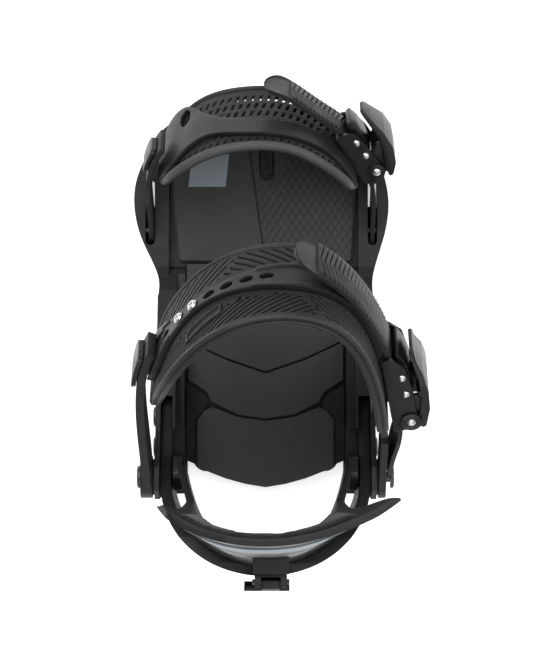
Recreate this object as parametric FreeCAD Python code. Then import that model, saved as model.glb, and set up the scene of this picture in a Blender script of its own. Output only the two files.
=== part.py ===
import FreeCAD, Part
import math
import os

# A strap-in snowboard binding for the right foot, straps closed.
# Frame, in millimetres: +Z up, +Y towards the toe, +X towards the buckle side.
# Origin: centre of the mounting disc, on the plane of the board's top sheet.

Vector = FreeCAD.Vector

# Mounting disc
BOLT_SPACING = 40.0
BOLT_HOLE_R = 3.25
BOLT_HEAD_R = 6.2
DISC_FLANGE_R = 45.8
DISC_HUB_R = 40.6
DISC_TOP_Z = 8.4
DISC_STEP_Z = 4.0
DISC_CLEARANCE = 0.3

# Base plate
BASE_UNDERSIDE_Z = 1.5
FLOOR_Z = 9.0
FLANGE_Z = 17.0
TOE_END_Y = 109.0
HEEL_END_Y = -112.4
RAIL_INNER_X = 48.2
RAIL_OUTER_X = 64.6
RAIL_WALL = 3.0
RAIL_REAR_Y = -117.0
RAIL_FRONT_Y = 14.0
ARM_POCKET_INNER_X = 54.6
SLOT_WIDTH = 5.4
SLOT_FRONT_Y = 72.0
SLOT_REAR_Y = 33.0
SLOT_LEFT_X = -69.3
SLOT_RIGHT_X = 64.3
FLANGE_WALL_LEFT_X = -58.0
FLANGE_WALL_RIGHT_X = 55.6

# Footbed
PAD_TOP_Z = 14.0
TRAY_TOP_Z = 11.0
TOE_LIFT = 4.0
SLIDE_GAP = 0.3
V_SIDE_Y = -24.0
V_TIP_Y = -43.1

# Heelcup and highback
CUP_OUTER_X = 61.3
CUP_THICKNESS = 6.4
CUP_CENTRE_Y = -104.0
CUP_DEPTH = 53.5
CUP_BOLT_Y = (-70.0, -88.0)
CUP_BOLT_Z = 28.0
HIGHBACK_PIVOT = (-101.0, 37.0)
HIGHBACK_ARM_X = (48.4, 53.8)
HIGHBACK_WALL = 4.0
HIGHBACK_BOSS_R = 9.0
LEAN_RACK_Y = -151.2
LEAN_PIVOT = (-158.6, 127.0)
CUP_GAP = 0.6

# Straps: a strap's own frame has x across, u along it from its pivot, w along its width
STRAP_TILT = 40.0
ANKLE_PIVOT = (-104.0, 60.0)
ANKLE_HALF_WIDTH = 32.0
CONNECTOR_R = 12.3
TOE_PIVOT = (42.0, 12.0)
TOE_FRONT_WIDTH = 35.0
TOE_REAR_WIDTH = 26.0
TOE_LADDER_TILT = 33.0
TONGUE_HALF_WIDTH = 8.0
LADDER_THICKNESS = 2.6
LADDER_W = -2.0
TOOTH_PITCH = 3.2
TOOTH_HEIGHT = 1.0
ANKLE_LADDER_HALF_WIDTH = 14.2
TOE_LADDER_HALF_WIDTH = 11.6
RUNNING_FIT = 0.05


# ---------------------------------------------------------------- helpers

def rounded_wire(points, radius):
    """Closed wire through (x, y) points, every corner turned into a tangent arc."""
    corners = [Vector(x, y, 0) for x, y in points]
    edges = []
    starts = []
    ends = []
    for i, corner in enumerate(corners):
        before = corners[i - 1] - corner
        after = corners[(i + 1) % len(corners)] - corner
        half_angle = before.getAngle(after) / 2
        reach = min(radius / max(math.tan(half_angle), 1e-6), 0.45 * before.Length, 0.45 * after.Length)
        if radius <= 0 or abs(half_angle - math.pi / 2) < 0.01:
            reach = 0
        first = corner + before.normalize() * reach
        last = corner + after.normalize() * reach
        starts.append(first)
        ends.append(last)
        if reach > 0:
            bisector = (before + after).normalize()
            true_radius = reach * math.tan(half_angle)
            centre = corner + bisector * (true_radius / math.sin(half_angle))
            middle = centre - bisector * true_radius
            edges.append((i, Part.Arc(first, middle, last).toShape()))
    wire_edges = []
    arcs = dict(edges)
    for i in range(len(corners)):
        if i in arcs:
            wire_edges.append(arcs[i])
        following = starts[(i + 1) % len(corners)]
        wire_edges.append(Part.LineSegment(ends[i], following).toShape())
    return Part.Wire(wire_edges)


def plan(points, z0, z1, radius=0.0):
    """Prism with an outline in X and Y, from z0 to z1."""
    face = Part.Face(rounded_wire(points, radius))
    face.translate(Vector(0, 0, z0))
    return face.extrude(Vector(0, 0, z1 - z0))


def side(points, x0, x1, radius=0.0):
    """Prism with an outline in Y and Z, from x0 to x1."""
    solid = plan(points, x0, x1, radius)
    solid.rotate(Vector(0, 0, 0), Vector(1, 1, 1), 120)
    return solid


def front(points, y0, y1, radius=0.0):
    """Prism with an outline in X and Z, from y0 to y1."""
    solid = plan(points, -y1, -y0, radius)
    solid.rotate(Vector(0, 0, 0), Vector(1, 0, 0), 90)
    return solid


def block(x, y, z):
    """Box from the (low, high) pairs x, y and z."""
    size = (x[1] - x[0], y[1] - y[0], z[1] - z[0])
    return Part.makeBox(size[0], size[1], size[2], Vector(x[0], y[0], z[0]))


def rod(start, direction, length, radius):
    """Cylinder from a start point along a direction."""
    return Part.makeCylinder(radius, length, Vector(*start), Vector(*direction))


def cross_rod(y, z, x0, x1, radius):
    """Cylinder along X."""
    return rod((x0, y, z), (1, 0, 0), x1 - x0, radius)


def mirrored(shape):
    """Copy on the other side of the centre plane X = 0."""
    return shape.mirror(Vector(0, 0, 0), Vector(1, 0, 0))


def both_sides(shape):
    """The shape and its mirror copy, as one group of separate solids."""
    return Part.makeCompound([shape, mirrored(shape)])


def curve(points):
    """Smooth curve through (x, y) points."""
    spline = Part.BSplineCurve()
    spline.interpolate([Vector(x, y, 0) for x, y in points])
    return spline


def offset_points(points, distance, count=36):
    """Points at a distance to the left of the travel along a smooth curve."""
    spline = curve(points)
    found = []
    for i in range(count + 1):
        t = spline.FirstParameter + (spline.LastParameter - spline.FirstParameter) * i / count
        along = spline.tangent(t)[0]
        place = spline.value(t) + Vector(-along.y, along.x, 0) * distance
        found.append((place.x, place.y))
    return found


def ribbon(points, inner, outer, w0, w1):
    """Strip that follows a curve in x and u, between two offsets, from w0 to w1."""
    low = curve(offset_points(points, inner)).toShape()
    high = curve(offset_points(points, outer)).toShape()
    first = Part.LineSegment(low.Vertexes[0].Point, high.Vertexes[0].Point).toShape()
    last = Part.LineSegment(low.Vertexes[-1].Point, high.Vertexes[-1].Point).toShape()
    face = Part.Face(Part.Wire([low, last, high, first]))
    face.translate(Vector(0, 0, w0))
    return face.extrude(Vector(0, 0, w1 - w0))


def across(points, x0, x1, radius=0.0):
    """Prism with an outline in u and w, from x0 to x1, in a strap's own frame."""
    return side(points, x0, x1, radius)


def in_strap(shape, pivot, tilt=STRAP_TILT):
    """Carry a shape from a strap's own frame to the binding's frame."""
    placed = shape.copy()
    placed.rotate(Vector(0, 0, 0), Vector(1, 0, 0), tilt)
    placed.translate(Vector(0, pivot[0], pivot[1]))
    return placed


def on_curve(points, x):
    """Place and outward direction on a left-to-right curve at one x."""
    spline = curve(points)
    low = spline.FirstParameter
    high = spline.LastParameter
    for _ in range(40):
        middle = (low + high) / 2
        if spline.value(middle).x < x:
            low = middle
        else:
            high = middle
    along = spline.tangent(low)[0]
    return spline.value(low), Vector(-along.y, along.x, 0)


def save(name, shape):
    shape.exportStep("parts/" + name + ".step")


# ---------------------------------------------------------------- base

def base_outline():
    """Plan outline of the base: wide toe flanges, narrow waist, straight rails."""
    left = [(-52, TOE_END_Y), (-64.5, 100), (-72, 86), (-77, 74), (-79, 62), (-78.3, 51), (-75.3, 39),
            (-69, 25), (-RAIL_OUTER_X, RAIL_FRONT_Y), (-RAIL_OUTER_X, 2)]
    right = [(50, TOE_END_Y), (61, 100), (67.5, 86), (72, 72), (74, 59), (73.2, 47), (71, 37),
             (67, 24), (RAIL_OUTER_X, RAIL_FRONT_Y), (RAIL_OUTER_X, 2)]
    left_edge = curve(left).toShape()
    right_edge = curve(right).toShape()
    toe = Part.LineSegment(right_edge.Vertexes[0].Point, left_edge.Vertexes[0].Point).toShape()
    heel_points = [(-RAIL_OUTER_X, 2), (-RAIL_OUTER_X, RAIL_REAR_Y), (RAIL_OUTER_X, RAIL_REAR_Y),
                   (RAIL_OUTER_X, 2)]
    heel = Part.makePolygon([Vector(x, y, 0) for x, y in heel_points])
    return Part.Wire([toe, left_edge] + heel.Edges + [right_edge])


def rail_profile(lower=0.0):
    """Side outline of a rail, (y, z), optionally with its top lowered."""
    top = [(RAIL_FRONT_Y + 6, 12), (RAIL_FRONT_Y - 8, 21), (-20, 32), (-52, 46), (-78, 55), (-90, 64)]
    crown = [(-97, 71.5), (-104, 73), (-111, 71.5), (-117, 62)]
    foot = [(RAIL_REAR_Y, 8), (-108, BASE_UNDERSIDE_Z), (RAIL_FRONT_Y + 6, BASE_UNDERSIDE_Z)]
    return [(y, z - lower) for y, z in top + crown] + foot


def slot(x):
    """Open slot through a toe flange for a strap end."""
    half = SLOT_WIDTH / 2
    outline = [(x - half, SLOT_REAR_Y), (x + half, SLOT_REAR_Y), (x + half, SLOT_FRONT_Y),
               (x - half, SLOT_FRONT_Y)]
    return plan(outline, -1, FLANGE_Z + 5, half - 0.1)


def make_base_plate():
    outline = Part.Face(base_outline())
    body = outline.copy()
    body.translate(Vector(0, 0, BASE_UNDERSIDE_Z))
    body = body.extrude(Vector(0, 0, 80))
    heel_edge = [(-RAIL_INNER_X - 2, -95), (-40, -99.5), (-24, -107), (-12, -110.4), (0, HEEL_END_Y),
                 (12, -110.4), (24, -107), (40, -99.5), (RAIL_INNER_X + 2, -95)]
    floor_points = [(-100, TOE_END_Y + 5), (-100, RAIL_FRONT_Y), (-RAIL_INNER_X - 2, RAIL_FRONT_Y)]
    floor_points += heel_edge + [(RAIL_INNER_X + 2, RAIL_FRONT_Y), (100, RAIL_FRONT_Y), (100, TOE_END_Y + 5)]
    floor = plan(floor_points, BASE_UNDERSIDE_Z, FLOOR_Z)
    toe_round = side([(-130, 0), (-130, 12), (TOE_END_Y - 6, 12), (TOE_END_Y + 1, 6), (TOE_END_Y - 3, 0)],
                     -100, 100, 3)
    floor = floor.common(toe_round)
    flange_side = [(4, BASE_UNDERSIDE_Z), (6, 14), (20, FLANGE_Z), (82, FLANGE_Z), (103, 11),
                   (105, BASE_UNDERSIDE_Z)]
    left_flange = side(flange_side, -100, FLANGE_WALL_LEFT_X, 4)
    right_flange = side(flange_side, FLANGE_WALL_RIGHT_X, 100, 4)
    rail = side(rail_profile(), RAIL_INNER_X, RAIL_OUTER_X, 4)
    ledge = side([(20, 14), (-12, 20), (-60, 36), (-80, 44), (-80, 90), (20, 90)], RAIL_INNER_X - 1, 53.0)
    pocket = block((ARM_POCKET_INNER_X, RAIL_OUTER_X - RAIL_WALL), (-130, -57), (FLOOR_Z + 1.5, 90))
    rear_opening = block((RAIL_INNER_X - 1, ARM_POCKET_INNER_X + 1), (-130, -76), (FLOOR_Z + 1.5, 90))
    hollow = side([(4, 0), (4, 17), (-28, 30), (-53, 41), (-53, 0)], 54.5, RAIL_OUTER_X - RAIL_WALL, 2)
    rail = rail.cut(ledge).cut(pocket).cut(rear_opening).cut(hollow)
    solid = floor.fuse([left_flange, right_flange, rail, mirrored(rail)]).common(body)
    recess = rod((0, 0, DISC_STEP_Z - DISC_CLEARANCE), (0, 0, 1), 20, DISC_FLANGE_R + DISC_CLEARANCE)
    hole = rod((0, 0, -1), (0, 0, 1), 20, DISC_HUB_R + DISC_CLEARANCE)
    solid = solid.cut(recess).cut(hole).cut(slot(SLOT_LEFT_X)).cut(slot(SLOT_RIGHT_X))
    for ends in ((-70, -60), (60, 70)):
        for y in CUP_BOLT_Y:
            solid = solid.cut(cross_rod(y, CUP_BOLT_Z, *ends, 3.1))
        solid = solid.cut(cross_rod(*HIGHBACK_PIVOT, *ends, 3.6))
        solid = solid.cut(cross_rod(*ANKLE_PIVOT, *ends, 3.1))
    for x in (SLOT_LEFT_X, SLOT_RIGHT_X):
        solid = solid.cut(cross_rod(*TOE_PIVOT, x - 5.5, x + 5.5, 2.0))
    return solid.removeSplitter()


def make_bushing(y0, y1, half_width):
    """Soft foot under the base, proud of its underside."""
    outline = [(-half_width, y0), (half_width, y0), (half_width, y1), (-half_width, y1)]
    return plan(outline, 0, BASE_UNDERSIDE_Z, 8)


def make_disc():
    disc = rod((0, 0, 0), (0, 0, 1), DISC_TOP_Z, DISC_HUB_R)
    disc = disc.fuse(rod((0, 0, DISC_STEP_Z), (0, 0, 1), DISC_TOP_Z - DISC_STEP_Z, DISC_FLANGE_R))
    disc = disc.cut(rod((0, 0, DISC_TOP_Z - 3), (0, 0, 1), 4, 12))
    half = BOLT_SPACING / 2
    for x in (-half, half):
        for y in (-half, half):
            disc = disc.cut(rod((x, y, -1), (0, 0, 1), 20, BOLT_HOLE_R))
            disc = disc.cut(rod((x, y, DISC_TOP_Z - 3.4), (0, 0, 1), 5, BOLT_HEAD_R))
    return disc.removeSplitter()


# ---------------------------------------------------------------- footbed

def toe_top(y):
    """Height of the toe pad's top: flat, then a gentle ramp up to the toe."""
    return PAD_TOP_Z + max(0.0, (y - 58.0) / 46.0) * TOE_LIFT


def toe_side(top, bottom):
    """Side outline between two offsets from the toe pad's top."""
    rear = 22.5
    tip = 104.0
    upper = [(rear, PAD_TOP_Z + top), (58, PAD_TOP_Z + top), (tip, toe_top(tip) + top)]
    if bottom is None:
        return upper + [(tip, FLOOR_Z + SLIDE_GAP), (rear, FLOOR_Z + SLIDE_GAP)]
    return upper + [(tip, toe_top(tip) + bottom), (58, PAD_TOP_Z + bottom), (rear, PAD_TOP_Z + bottom)]


def make_toe_ramp():
    carrier = side(toe_side(-3.0, None), -70, 70)
    outline = [(-53, 22.5), (-57.2, 62), (-56, 92), (-48, 104), (46, 104), (53.6, 92), (54.8, 62),
               (52.6, 22.5)]
    carrier = carrier.common(plan(outline, 0, 40, 5))
    return carrier.cut(loop_recess(1.0))


def seam_x(y):
    """Line between the two toe pads."""
    return -9.9 + (91.4 - y) * 7.7 / 55.0


def loop_recess(depth):
    return plan([(-3.8, 72), (5.2, 72), (5.2, 97), (-3.8, 97)], PAD_TOP_Z - 3 - depth, 40, 4.4)


def make_toe_pads():
    skin = side(toe_side(0.0, -3.0), -70, 70)
    gap = 0.25
    medial = [(-51.5, 23.5), (-55.8, 62), (-54.6, 91), (-47, 103), (seam_x(103) - gap, 103),
              (seam_x(23.5) - gap, 23.5)]
    lateral = [(seam_x(23.5) + gap, 23.5), (seam_x(103) + gap, 103), (45, 103), (52.2, 91), (53.4, 62),
               (51.2, 23.5)]
    medial_pad = skin.common(plan(medial, 0, 40, 1.5))
    lateral_pad = skin.common(plan(lateral, 0, 40, 1.5)).cut(loop_recess(0))
    return medial_pad, lateral_pad


def make_ramp_loop():
    """Small pull loop that frees the sliding toe ramp."""
    outer = plan([(-2.8, 76), (4.2, 76), (4.2, 95), (-2.8, 95)], 10.2, 13.0, 3.4)
    inner = plan([(-0.9, 78), (2.3, 78), (2.3, 90), (-0.9, 90)], 9, 16, 1.5)
    return outer.cut(inner)


def v_seam(gap):
    """Shallow V across the footbed, bowed towards the heel, from left to right."""
    middle = (V_SIDE_Y + V_TIP_Y) / 2 - 1.4
    line = [(-47.4, V_SIDE_Y), (-24, middle), (0, V_TIP_Y), (24, middle), (47.4, V_SIDE_Y)]
    return [(x, y - gap) for x, y in line]


def make_mid_pad():
    outline = [(-47.4, 21.6)] + v_seam(0.0) + [(47.4, 21.6)]
    pad = plan(outline, FLOOR_Z + SLIDE_GAP, PAD_TOP_Z, 1.5)
    finger_notch = plan([(-9, 21.6), (9, 21.6), (7, 16), (-7, 16)], 5, 20, 2)
    return pad.cut(finger_notch)


def make_heel_tray():
    rear_edge = [(47.4, -97), (40.8, -100), (24, -107.4), (12, -110.8), (0, -112.8), (-12, -110.8),
                 (-24, -107.4), (-40.8, -100), (-47.4, -97)]
    tray = plan(v_seam(0.6) + rear_edge, FLOOR_Z, TRAY_TOP_Z, 0.8)
    for sign in (-1, 1):
        wing = [(sign * 47.4, -51), (sign * 37.2, -57.2), (sign * 34.4, -63.2), (sign * 43, -73),
                (sign * 43, -92), (sign * 47.4, -92)]
        tray = tray.fuse(plan(wing, TRAY_TOP_Z - 0.5, TRAY_TOP_Z + 1.8, 0.8))
    return tray.removeSplitter()


def make_heel_pads():
    front_edge = [(x * 0.99, y) for x, y in v_seam(1.4)]
    centre_wire = front_edge + [(46.9, -48.2), (35.6, -55.4), (32.4, -61.6), (17, -69.2), (0, -71.6),
                                (-17, -69.2), (-32.4, -61.6), (-35.6, -55.4), (-46.9, -48.2)]
    rear_wire = [(-37, -66.8), (-32.2, -64.8), (-17, -70.6), (0, -73), (17, -70.6), (32.2, -64.8),
                 (37, -66.8), (41.2, -72.4), (41.2, -101), (24, -107.7), (12, -111), (0, -113), (-12, -111),
                 (-24, -107.7), (-41.2, -101), (-41.2, -72.4)]
    centre = plan(centre_wire, TRAY_TOP_Z, PAD_TOP_Z + 0.8, 1.2)
    rear = plan(rear_wire, TRAY_TOP_Z, PAD_TOP_Z + 0.8, 1.2)
    return centre, rear


# ---------------------------------------------------------------- heelcup

def cup_loop(half_x, depth, z0, z1):
    """Filled plan shape of the heel loop: straight arms and an elliptic rear."""
    ellipse = Part.Ellipse(Vector(0, CUP_CENTRE_Y, 0), half_x, depth)
    oval = Part.Face(Part.Wire([ellipse.toShape()]))
    oval.translate(Vector(0, 0, z0))
    oval = oval.extrude(Vector(0, 0, z1 - z0))
    arms = block((-half_x, half_x), (CUP_CENTRE_Y, -40), (z0, z1))
    rear = oval.common(block((-90, 90), (-190, CUP_CENTRE_Y), (z0, z1)))
    return arms.fuse(rear).removeSplitter()


def make_heelcup():
    outer = cup_loop(CUP_OUTER_X, CUP_DEPTH, 0, 130)
    inner = cup_loop(CUP_OUTER_X - CUP_THICKNESS, CUP_DEPTH - CUP_THICKNESS + 0.4, -1, 131)
    profile = [(-58, 13), (-58, 38), (-72, 45), (-92, 55), (-108, 68), (-122, 86), (-136, 99), (-150, 105.5),
               (-170, 106), (-170, 66), (-152, 62), (-138, 52), (-124, 34), (-112, 18), (-100, 11.5)]
    cup = outer.cut(inner).common(side(profile, -90, 90, 5))
    for ends in ((-66, -50), (50, 66)):
        for y in CUP_BOLT_Y:
            cup = cup.cut(cross_rod(y, CUP_BOLT_Z, *ends, 3.1))
        cup = cup.cut(cross_rod(*HIGHBACK_PIVOT, *ends, 3.6))
        cup = cup.cut(cross_rod(*ANKLE_PIVOT, *ends, 3.1))
    for x in (-66, 20):
        window = side([(-126, 62), (-140, 78), (-136, 86), (-122, 72)], x, x + 46, 3)
        cup = cup.cut(window)
    return cup.removeSplitter()


def bolt(y, z, head_x, tip_x, shank_r, head_r, head_height):
    """Round-headed bolt along X on the buckle side; its head faces +X."""
    shank = cross_rod(y, z, tip_x, head_x, shank_r)
    head = cross_rod(y, z, head_x, head_x + head_height, head_r)
    rim = [edge for edge in head.Edges if abs(edge.CenterOfMass.x - head_x - head_height) < 1e-6]
    head = head.makeFillet(head_height * 0.6, rim)
    socket = cross_rod(y, z, head_x + head_height * 0.5, head_x + head_height + 1, head_r * 0.38)
    return shank.fuse(head).cut(socket)


def make_heelcup_bolts():
    tip_x = CUP_OUTER_X - CUP_THICKNESS
    bolts = [bolt(y, CUP_BOLT_Z, RAIL_OUTER_X, tip_x, 3.05, 6.0, 2.2) for y in CUP_BOLT_Y]
    return Part.makeCompound(bolts + [mirrored(one) for one in bolts])


def make_highback_bolts():
    y, z = HIGHBACK_PIVOT
    one = bolt(y, z, RAIL_OUTER_X, HIGHBACK_ARM_X[0] - 0.4, 3.5, 6.0, 1.2)
    collar = cross_rod(y, z, HIGHBACK_ARM_X[0] - 2.2, HIGHBACK_ARM_X[0] - 0.4, 6.4)
    return both_sides(one.fuse(collar))


def make_ankle_bolts():
    y, z = ANKLE_PIVOT
    return both_sides(bolt(y, z, 72.9, CUP_OUTER_X - CUP_THICKNESS, 3.0, 6.6, 2.0))


def make_ankle_washers():
    y, z = ANKLE_PIVOT
    ring = cross_rod(y, z, RAIL_OUTER_X, 65.5, 10.5)
    return both_sides(ring.cut(cross_rod(y, z, 60, 70, 3.0)))


def make_toe_pins():
    pins = []
    for x in (SLOT_LEFT_X, SLOT_RIGHT_X):
        pins.append(cross_rod(*TOE_PIVOT, x - 5.5, x + 5.5, 2.0))
    return Part.makeCompound(pins)


# ---------------------------------------------------------------- highback

def highback_section(z, half_width, rear_y, depth, power, inner, outer):
    """Closed U-shaped section at one height, between two offsets of its inner curve."""
    steps = (-1.0, -0.94, -0.84, -0.7, -0.5, -0.25, 0.0, 0.25, 0.5, 0.7, 0.84, 0.94, 1.0)
    line = [(half_width * s, rear_y + depth * abs(s) ** power) for s in steps]
    low = curve(offset_points(line, -inner, 24)).toShape()
    high = curve(offset_points(line, -outer, 24)).toShape()
    first = Part.LineSegment(low.Vertexes[0].Point, high.Vertexes[0].Point).toShape()
    last = Part.LineSegment(low.Vertexes[-1].Point, high.Vertexes[-1].Point).toShape()
    wire = Part.Wire([low, last, high, first])
    wire.translate(Vector(0, 0, z))
    return wire


def highback_loft(inner, outer):
    """Curved wall of the highback; deep and narrow at the ankle, wide and flat at the top."""
    stations = [(44, 48.6, -140.5, 52, 5.0), (70, 48.2, -141.5, 50, 4.4), (100, 46.6, -142.0, 47, 3.8),
                (140, 45.8, -140.5, 42, 3.2), (180, 50.5, -135.5, 34, 2.7), (215, 57.5, -129.5, 27, 2.3),
                (252, 72.0, -123.5, 22, 2.0)]
    sections = [highback_section(*station, inner, outer) for station in stations]
    return Part.makeLoft(sections, True, False)


def highback_side():
    """Side outline of the highback, (y, z): the wings lie well behind the arms."""
    return [(-91, 47), (-97, 68), (-107, 96), (-113.5, 128), (-114.5, 170), (-112.5, 200), (-109.5, 224),
            (-104.5, 240), (-101, 262), (-160, 262), (-160, 64), (-128, 62), (-113, 50), (-105, 44)]


def highback_front():
    """Front outline of the highback, (x, z): the wing on the buckle side is higher."""
    return [(-70, 40), (-70, 150), (-60, 214), (-50, 233), (-20, 241), (20, 244), (56, 247), (73, 242),
            (76, 218), (74, 150), (72, 40)]


def make_highback_shell():
    wall = highback_loft(0.0, HIGHBACK_WALL)
    wall = wall.common(side(highback_side(), -90, 90, 5)).common(front(highback_front(), -200, -60, 9))
    y, z = HIGHBACK_PIVOT
    arm_points = [(-93, 33), (-90.5, 52), (-92, 66), (-103, 72), (-112, 60), (-110, 40), (-105, 29),
                  (-97, 29)]
    arm = side(arm_points, *HIGHBACK_ARM_X, 4).fuse(cross_rod(y, z, *HIGHBACK_ARM_X, HIGHBACK_BOSS_R))
    shell = wall.fuse([arm, mirrored(arm)])
    inside_cup = cup_loop(CUP_OUTER_X - CUP_THICKNESS - CUP_GAP, CUP_DEPTH - CUP_THICKNESS - CUP_GAP, 0, 112)
    above_cup = block((-100, 100), (-200, 0), (112, 270))
    shell = shell.common(inside_cup.fuse(above_cup))
    bore = cross_rod(y, z, -70, 70, 3.5 + RUNNING_FIT)
    return shell.cut(bore).removeSplitter()


def make_highback_liner():
    liner = highback_loft(-3.4, -0.05)
    outline = [(-20, 78), (-24, 125), (-38, 175), (-47, 222), (-20, 232), (20, 235), (50, 236), (56, 222),
               (42, 175), (25, 125), (20, 78)]
    liner = liner.common(front(outline, -200, -60, 10))
    return liner.common(side([(-160, 70), (-160, 250), (-111, 250), (-117, 170), (-116, 128), (-108, 90),
                               (-108, 70)], -90, 90))


def make_highback_accent():
    """Thin band let into the back of the highback just below its top edge."""
    band = highback_loft(HIGHBACK_WALL + 0.08, HIGHBACK_WALL + 0.9)
    outline = [(-50, 212), (-30, 205), (30, 208), (56, 222), (50, 232), (0, 228), (-40, 222)]
    return band.common(front(outline, -200, -60, 4))


def make_lean_rack():
    rack = block((-7, 13), (LEAN_RACK_Y, -140), (110, 158))
    rack = rack.cut(highback_loft(-12, HIGHBACK_WALL + 0.02))
    for i in range(12):
        groove = side([(LEAN_RACK_Y - 1, 112 + 3.6 * i), (LEAN_RACK_Y + 0.9, 113.8 + 3.6 * i),
                       (LEAN_RACK_Y - 1, 115.4 + 3.6 * i)], -8, 14)
        rack = rack.cut(groove)
    return rack


def make_lean_block():
    body = side([(-151.6, 107), (-151.6, 134), (-155.5, 135), (-161.5, 131), (-161.5, 123), (-158.5, 119.5),
                 (-158.2, 107)], -6, 12, 1.2)
    middle = block((-2.5, 8.5), (-170, -155.2), (118, 140))
    return body.cut(middle).cut(cross_rod(*LEAN_PIVOT, -20, 20, 1.5))


def make_lean_pin():
    return cross_rod(*LEAN_PIVOT, -7.4, 13.4, 1.5)


def make_lean_lever():
    y, z = LEAN_PIVOT
    plate = side([(-159.2, 110), (-161.9, 109), (-164.6, 113), (-164.2, 124), (-162.4, 130.4), (-157, 130.4),
                  (-156.2, 124), (-160.4, 120), (-161.3, 113)], -2.1, 8.1, 1.2)
    tab = side([(-159.4, 108.6), (-162.6, 107.8), (-165.0, 112), (-164.6, 119), (-162.2, 119),
                (-161.8, 112.5)],
               -12, 13.5, 1.0)
    lever = plate.fuse(tab)
    return lever.cut(cross_rod(y, z, -20, 20, 1.5 + RUNNING_FIT))


# ---------------------------------------------------------------- ladders and buckles

def make_ladder(line, half_width, first_tooth, last_tooth):
    """Ratchet strip along a curve in x and u, with saw teeth on its outer face."""
    half = LADDER_THICKNESS / 2
    spline = curve(line)
    length = spline.length()
    low = curve(offset_points(line, -half)).toShape()
    outer = []
    distance = 0.0
    while distance <= length:
        t = spline.parameterAtDistance(distance, spline.FirstParameter)
        along = spline.tangent(t)[0]
        normal = Vector(-along.y, along.x, 0)
        outer.append(spline.value(t) + normal * half)
        if first_tooth < distance < last_tooth:
            outer.append(spline.value(t) + normal * (half + TOOTH_HEIGHT))
        distance += TOOTH_PITCH
    end = spline.value(spline.LastParameter)
    along = spline.tangent(spline.LastParameter)[0]
    outer.append(end + Vector(-along.y, along.x, 0) * half)
    high = Part.makePolygon(outer)
    first = Part.LineSegment(low.Vertexes[0].Point, outer[0]).toShape()
    last = Part.LineSegment(low.Vertexes[-1].Point, outer[-1]).toShape()
    face = Part.Face(Part.Wire([low, last] + high.Edges[::-1] + [first]))
    face.translate(Vector(0, 0, LADDER_W - half_width))
    return face.extrude(Vector(0, 0, 2 * half_width))


def in_buckle(shape, origin, turn):
    """Carry a shape from a buckle's frame (q out, p up the ladder) to its strap's frame."""
    placed = shape.copy()
    placed.rotate(Vector(0, 0, 0), Vector(0, 0, 1), turn)
    placed.translate(Vector(origin[0], origin[1], 0))
    return placed


def pin_hole(place, radius):
    return rod((place[0], place[1], -60), (0, 0, 1), 120, radius)


def make_buckle_frame(plate, half_width, base_q, base_p, pins, pin_radii):
    """Channel of a ratchet buckle: a base and two side plates, with pin holes."""
    low = LADDER_W - half_width
    high = LADDER_W + half_width
    base = block((base_q, base_q + 1.6), base_p, (low - 2, high + 2))
    frame = base.fuse([plan(plate, low - 2, low, 2.5), plan(plate, high, high + 2, 2.5)])
    for place, radius in zip(pins, pin_radii):
        frame = frame.cut(pin_hole(place, radius + RUNNING_FIT))
    return frame.removeSplitter()


def make_buckle_pins(half_width, pins, pin_radii):
    """Pivot pin and rivets across a buckle, each with a domed head at both ends."""
    solids = []
    for place, radius in zip(pins, pin_radii):
        low = LADDER_W - half_width - 2.0
        high = LADDER_W + half_width + 2.0
        shank = rod((place[0], place[1], low), (0, 0, 1), high - low, radius)
        dome = Part.makeSphere(radius * 1.5, Vector(place[0], place[1], high - radius * 0.6))
        dome = dome.common(block((-90, 90), (-90, 90), (high, high + 5)))
        under = Part.makeSphere(radius * 1.5, Vector(place[0], place[1], low + radius * 0.6))
        under = under.common(block((-90, 90), (-90, 90), (low - 5, low)))
        solids.append(shank.fuse([dome, under]).removeSplitter())
    return Part.makeCompound(solids)


def make_lever(cover, taper, arm, half_width, pivot, pin_radius):
    """Ratchet lever: a cover that tapers to its grip, and two arms down to the pivot pin."""
    low = LADDER_W - half_width
    high = LADDER_W + half_width
    wide_p, tip_p, tip_half = taper
    face = [(-15, low - 2), (wide_p, low - 2), (tip_p, LADDER_W - tip_half), (tip_p, LADDER_W + tip_half),
            (wide_p, high + 2), (-15, high + 2)]
    body = plan(cover, low - 2.0, high + 2.0, 1.8).common(side(face, 0, 40, 5))
    arms = [plan(arm, low + 0.3, low + 2.8, 2.5), plan(arm, high - 2.8, high - 0.3, 2.5)]
    lever = body.fuse(arms)
    return lever.cut(pin_hole(pivot, pin_radius + RUNNING_FIT)).removeSplitter()


def make_drive_pawl(place, half_width):
    """Cross bar with a tooth that pushes the ladder when the lever is pulled."""
    low = LADDER_W - half_width + 2.9
    high = LADDER_W + half_width - 2.9
    bar = rod((place[0], place[1], low), (0, 0, 1), high - low, 1.9)
    tooth = plan([(place[0] - 0.5, place[1] - 1.8), (place[0] - 2.9, place[1] + 1.6),
                  (place[0] + 0.8, place[1] + 1.8)],
                 low + 1, high - 1, 0.3)
    return bar.fuse(tooth).removeSplitter()


def make_release(outline, half_width, pivot, pin_radius):
    """Lock pawl with its finger tab; it swings on a rivet between the lever's arms."""
    low = LADDER_W - half_width + 3.2
    high = LADDER_W + half_width - 3.2
    body = plan(outline, low, high, 0.6)
    return body.cut(pin_hole(pivot, pin_radius + RUNNING_FIT))


# ---------------------------------------------------------------- ankle strap

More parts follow.
